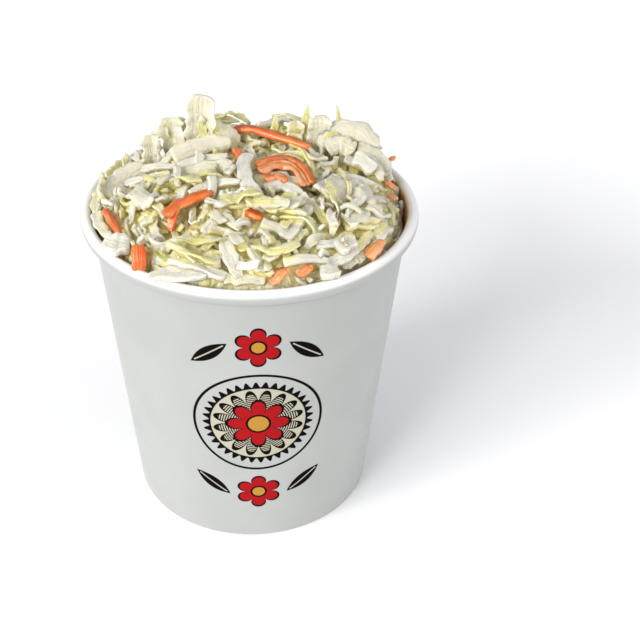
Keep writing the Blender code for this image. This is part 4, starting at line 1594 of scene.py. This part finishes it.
def shred_faces(count, samples, around):
    """Quads between the rings of every shred, and the triangles that close its two ends."""
    ring = np.arange(around)
    last, next_one = (samples - 1) * around, (ring + 1) % around
    start = np.stack((np.full(around, samples * around), ring, next_one), -1)
    end = np.stack((np.full(around, samples * around + 1), last + next_one, last + ring), -1)
    base = (np.arange(count) * (samples * around + 2))[:, None, None]
    quads = (grid_faces(samples, around, False, True) + base).reshape(-1, 4)
    return [quads, (np.concatenate((start, end)) + base).reshape(-1, 3)]


def skin(batch, rng, surface, rows, shape, width):
    """Points, faces and finish attributes of all shreds of a batch.

    The strand attribute is a place along and across the shred and a number of its own. The
    look attribute is its leafiness, the depth in the pile and a random share.
    """
    count, samples, around = surface.shape[:3]
    caps = surface[:, (0, -1)].mean(axis=2)
    out = np.stack((rows[:, 0, 1] - rows[:, 1, 1], rows[:, -1, 1] - rows[:, -2, 1]), axis=1)
    caps = caps + unit(out) * CAP_RISE
    points = np.concatenate((surface.reshape(count, -1, 3), caps), axis=1)
    share = ring_shares(samples)
    span = np.linalg.norm(np.diff(rows[:, :, 1], axis=1), axis=-1).sum(axis=1)
    full = (count, samples, around)
    drift = rng.normal(0, LEAF_DRIFT, count)[:, None] * (2 * share - 1)
    leaf = np.clip(batch["leaf"][:, None] + drift, 0, 1.4)
    steep = np.abs(unit(np.gradient(rows[:, :, 1], axis=1))[..., 2])
    # Depth in the pile, less on steep shreds; from it the finishes paint bounce light and pooled
    # dressing deep down, and shade on the tops.
    depth = hidden(surface) * (1 - 0.8 * steep**2)[..., None]
    values = {
        "strand": ((share * span[:, None])[..., None], shape[:, 0] * width[..., None] / 2,
                   rng.random(count)[:, None, None] * 100.0),
        "look": (leaf[..., None], depth, rng.random(count)[:, None, None]),
    }
    attributes = {}
    for label, parts in values.items():
        value = np.stack([np.broadcast_to(part, full) for part in parts], axis=-1)
        ends = np.stack((value[:, 0, 0], value[:, -1, 0]), axis=1)
        attributes[label] = np.concatenate((value.reshape(count, -1, 3), ends), axis=1)
    return points, shred_faces(count, samples, around), attributes


print("faces of one shred of 17 rings:", sum(map(len, shred_faces(1, 17, 14))))

# %% [markdown]
# ## Cabbage and carrot
#
# Cabbage is pale because it is wet cells that scatter light: light goes in, spreads a
# millimetre or two and comes out softened. Subsurface scattering gives that. Leaf edges are
# thinner and greener than ribs, fine veins run along the strip, and the dressing leaves a thin,
# uneven cream film that shines. Carrot scatters too, but deep orange, with fibres along it.

# %% Finishes of the shreds


def strand_places(net):
    """Place along, across and by shred, in millimetres, from the strand attribute."""
    return net.add("ShaderNodeAttribute", output="Vector", attribute_name="strand")


def look_parts(net):
    """Leafiness, depth in the pile and a random number for each shred."""
    look = net.add("ShaderNodeAttribute", output="Vector", attribute_name="look")
    return net.parts(look)


def stretched(net, vector, along, across):
    """The strand's places, scaled apart along and across for patterns that run with it."""
    return net.add("ShaderNodeVectorMath", {0: vector, 1: (along, across, 1.0)},
                   operation="MULTIPLY")


def cabbage_finish(name, white, straw, green, shine):
    """Dressed cabbage from white rib to green leaf; deep between the shreds painted bounce light and
    pooled dressing, and painted shade on the tops.
    """
    net = Network(name)
    strand = strand_places(net)
    across = net.parts(strand)[1]
    leaf, depth, chance = look_parts(net)
    blotch = net.noise(stretched(net, strand, 0.25, 0.4), 1.0, 2.0)
    veins = net.noise(stretched(net, strand, 0.13, 1.15), 1.0, 2.0)
    grain = net.noise(stretched(net, strand, 1.0, 1.6), 1.0, 2.0)
    greenness = net.math("ADD", leaf, net.math("MULTIPLY", net.math("SUBTRACT", blotch, 0.5), 1.1))
    greenness = net.math("ADD", greenness, net.math("MULTIPLY", net.math("SUBTRACT", veins, 0.5), 0.7))
    rim = net.range(net.math("ABSOLUTE", across), 1.0, 2.6, 0.0, 0.35)
    greenness = net.math("SUBTRACT", greenness, rim)
    colour = net.mix(net.range(greenness, 0.15, 0.60), white, straw)
    colour = net.mix(net.range(greenness, 0.62, 1.15), colour, green)
    colour = net.mix(net.range(greenness, 1.05, 1.35), colour, OUTER_LEAF)
    film = net.range(grain, 0.52, 0.68, 0.0, 0.45)
    colour = net.mix(film, colour, FILM_COLOUR)
    # Painted bounce light and pooled dressing: the deeper a place lies below the tops near it, the more
    # its colour turns a bright cream-yellow.
    colour = net.mix(net.range(depth, 0.15, 0.9, 0.0, 0.62), colour, POOLED_DRESSING_AND_BOUNCE_LIGHT)
    value = net.range(chance, 0.0, 1.0, 0.95, 1.0, smooth=False)
    value = net.math("MULTIPLY", value, net.range(blotch, 0.3, 0.7, 0.91, 1.0))
    # Painted shade: places at the top of the pile are up to a tenth darker than deeper ones.
    value = net.math("MULTIPLY", value, net.range(depth, 0.0, 0.5, 0.90, 1.0))
    colour = net.mix(1.0, colour, net.add("ShaderNodeCombineColor", {0: value, 1: value, 2: value}),
                     "MULTIPLY")
    rough = net.range(grain, 0.3, 0.7, shine, shine + 0.2)
    relief = net.bump(grain, 0.6, 0.0006, net.bump(veins, 0.7, 0.0008))
    return net.finish(base_color=colour, roughness=rough, normal=relief,
                      subsurface_weight=0.8, subsurface_radius=(1.0, 1.0, 1.0),
                      subsurface_scale=0.0024, coat_weight=0.28, coat_roughness=0.15)


def carrot_finish():
    """Dressed carrot: orange core and paler outer flesh, fibres along it, patches of cream, and painted
    shade deeper in the pile.
    """
    net = Network("carrot")
    strand = strand_places(net)
    leaf, depth, _ = look_parts(net)
    fibre = net.noise(stretched(net, strand, 0.18, 2.0), 1.0, 3.0)
    patch = net.noise(stretched(net, strand, 0.40, 0.7), 1.0, 3.0)
    colour = net.mix(net.range(fibre, 0.35, 0.68), *CARROT)
    coated = net.math("ADD", net.math("MULTIPLY", leaf, 0.5), patch)
    colour = net.mix(net.range(coated, 0.62, 1.0, 0.0, 0.8), colour, CARROT_CREAM)
    # Painted shade: carrot lying deeper in the pile turns a darker orange.
    colour = net.mix(net.range(depth, 0.3, 1.0, 0.0, 0.5), colour, CARROT_PAINTED_SHADE)
    relief = net.bump(patch, 0.5, 0.0006, net.bump(fibre, 0.7, 0.0005))
    return net.finish(base_color=colour, roughness=net.range(patch, 0.3, 0.7, 0.28, 0.45),
                      normal=relief, subsurface_weight=0.5,
                      subsurface_radius=(1.0, 0.45, 0.2), subsurface_scale=0.0016,
                      coat_weight=0.4, coat_roughness=0.15)


# %% Make the finishes
FILM_COLOUR = srgb(233, 230, 218)
# Painted bounce light and pooled dressing: the bright cream-yellow of places deep between the shreds.
POOLED_DRESSING_AND_BOUNCE_LIGHT = srgb(255, 240, 150)
OUTER_LEAF = srgb(150, 154, 70)
GREEN = srgb(200, 203, 100)
RIB = (srgb(231, 227, 212), srgb(226, 217, 158))
THIN_LEAF = (srgb(230, 225, 203), srgb(224, 216, 150))
PACKED = (srgb(232, 227, 188), srgb(226, 218, 146))
CARROT = (srgb(220, 90, 26), srgb(232, 134, 56))
CARROT_CREAM = srgb(232, 176, 124)
# Painted shade of carrot deep in the pile.
CARROT_PAINTED_SHADE = srgb(184, 70, 26)

rib_flesh = cabbage_finish("cabbage_rib", *RIB, GREEN, 0.26)
leaf_flesh = cabbage_finish("cabbage_leaf", *THIN_LEAF, GREEN, 0.30)
packed_flesh = cabbage_finish("packed_salad", *PACKED, GREEN, 0.26)
carrot_flesh = carrot_finish()
print("nodes of a cabbage finish:", len(rib_flesh.node_tree.nodes))

# %% Surfaces of the shreds
NEAR_CELLS = 101
FULL_DEPTH = 2.6
CORE_SHADE = 0.75
SKINS = {
    # name: rings, profile, raggedness, bluntness, roundness of the end, finish, slot
    "rib_strips": (17, "bar", 0.12, 0.84, 0.3, rib_flesh, "coleslaw"),
    "leaf_strips": (21, "bar", 0.20, 0.84, 0.5, leaf_flesh, "coleslaw"),
    "broad_leaves": (24, "bar", 0.10, 0.80, 0.6, leaf_flesh, "coleslaw"),
    "green_slivers": (14, "bar", 0.14, 0.70, 0.0, leaf_flesh, "coleslaw"),
    "pale_threads": (14, "bar", 0.12, 0.75, 0.0, rib_flesh, "coleslaw"),
    "rib_chunks": (10, "bar", 0.15, 0.82, 0.4, rib_flesh, "coleslaw"),
    "cabbage_bits": (9, "bar", 0.2, 0.80, 0.3, rib_flesh, "coleslaw"),
    "carrot_shreds": (15, "ridged", 0.09, 0.78, 0.0, carrot_flesh, "carrot"),
}


def hidden(points):
    """How far points lie below the tops near them: 0 at the top, 1 at full depth."""
    depth = read_grid(near_top, points[..., 0], points[..., 1]) - points[..., 2]
    return np.clip(depth / FULL_DEPTH, 0, 1)


def merged(kind):
    """The loose and the placed shreds of one kind as one batch."""
    same = [batch for batch in loose + placed if batch["kind"] == kind]
    return {label: np.concatenate([batch[label] for batch in same])
            for label in ("now", "thick", "leaf", "tip", "slant")}


rng = np.random.default_rng(33)
batches, surfaces = {}, {}
for kind, (*shape_settings, _, _) in SKINS.items():
    batches[kind] = merged(kind)
    surfaces[kind] = shred_surface(batches[kind], rng, *shape_settings)

near_top = np.full((NEAR_CELLS, NEAR_CELLS), FLOOR_LEVEL)
for points in [top] + [surface for surface, *_ in surfaces.values()]:
    flat = points.reshape(-1, 3)
    cell = np.round((flat[:, :2] / HEIGHT_REACH + 1) * (NEAR_CELLS - 1) / 2).astype(int)
    cell = np.clip(cell, 0, NEAR_CELLS - 1)
    np.maximum.at(near_top, (cell[:, 0], cell[:, 1]), flat[:, 2])
near_top = blurred(near_top, 2)
# The core's depth, scaled down, drives the same painted bounce light and shade as the shreds' depth
# does.
core_look[:, :top.shape[1], 1] = hidden(top) * CORE_SHADE
print("salad in the scene:", {kind: len(batch["thick"]) for kind, batch in batches.items()})

# %% Make the core and the shreds
make_piece(
    "slaw_core", core, [grid_faces(*core.shape[:2], True, False)], packed_flesh,
    {"strand": core_strand, "look": core_look}, node="coleslaw",
)

for kind, (*_, flesh, slot) in SKINS.items():
    made = skin(batches[kind], rng, *surfaces[kind])
    piece = make_piece(kind, made[0], made[1], flesh, made[2])
    if slot == "coleslaw":
        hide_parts("coleslaw")

# %% [markdown]
# ## Floor, light and sky
#
# A plain white floor, two soft key lamps side by side at the front left, a weak wide one above,
# a low one from the right, and a pale sky that fills the shadow. Distant lamps light the whole
# floor evenly, and it burns out to white wherever the key lamps reach it.

# %% Floor
floor_mesh = bpy.data.meshes.new("floor")
floor_mesh.from_pydata([(-3, -3, 0), (3, -3, 0), (3, 3, 0), (-3, 3, 0)], [], [(0, 1, 2, 3)])
floor_net = Network("pale_floor")
floor_place = floor_net.add("ShaderNodeTexCoord", output="Object")
floor_tone = floor_net.noise(floor_place, 2.0, 2.0)
floor_mesh.materials.append(floor_net.finish(
    base_color=floor_net.mix(floor_tone, srgb(251, 251, 252), srgb(253, 253, 253)), roughness=0.7,
))
floor = bpy.data.objects.new("floor", floor_mesh)
bpy.context.scene.collection.objects.link(floor)
print("floor: 6 m square, at the foot of the cup")

# %% Lamps
LAMPS = (
    # name, direction it shines from, width in degrees, strength and colour
    ("left_lamp", (-0.72, -0.44, 0.38), 20.0, 1.7, (1.0, 0.99, 0.97)),
    ("front_lamp", (-0.50, -0.66, 0.38), 20.0, 1.55, (1.0, 0.99, 0.97)),
    ("top_lamp", (-0.25, 0.1, 1.0), 70.0, 0.22, (1.0, 1.0, 1.0)),
    ("right_lamp", (0.9, -0.5, 0.12), 40.0, 1.5, (1.0, 1.0, 1.0)),
)


def distant_lamp(name, from_place, spread, strength, colour):
    """A distant lamp that shines from a direction, as wide across the sky as its spread."""
    lamp = bpy.data.lights.new(name, "SUN")
    lamp.angle = math.radians(spread)
    lamp.energy = strength
    lamp.color = colour
    made = bpy.data.objects.new(name, lamp)
    made.rotation_euler = Vector(from_place).to_track_quat("Z", "Y").to_euler()
    bpy.context.scene.collection.objects.link(made)
    print(f"{name}: strength {strength}, {spread:.0f} degrees wide")


for row in LAMPS:
    distant_lamp(*row)

# %% Sky
SKY_COLOUR = (0.96, 0.97, 1.01, 1.0)
SKY_STRENGTH = 0.575

world = bpy.data.worlds.new("sky")
world.use_nodes = True
sky = world.node_tree.nodes["Background"]
sky.inputs["Color"].default_value = SKY_COLOUR
sky.inputs["Strength"].default_value = SKY_STRENGTH
bpy.context.scene.world = world
bpy.context.scene.view_settings.view_transform = "Standard"
bpy.context.scene.view_settings.look = "None"
print("sky strength:", SKY_STRENGTH)
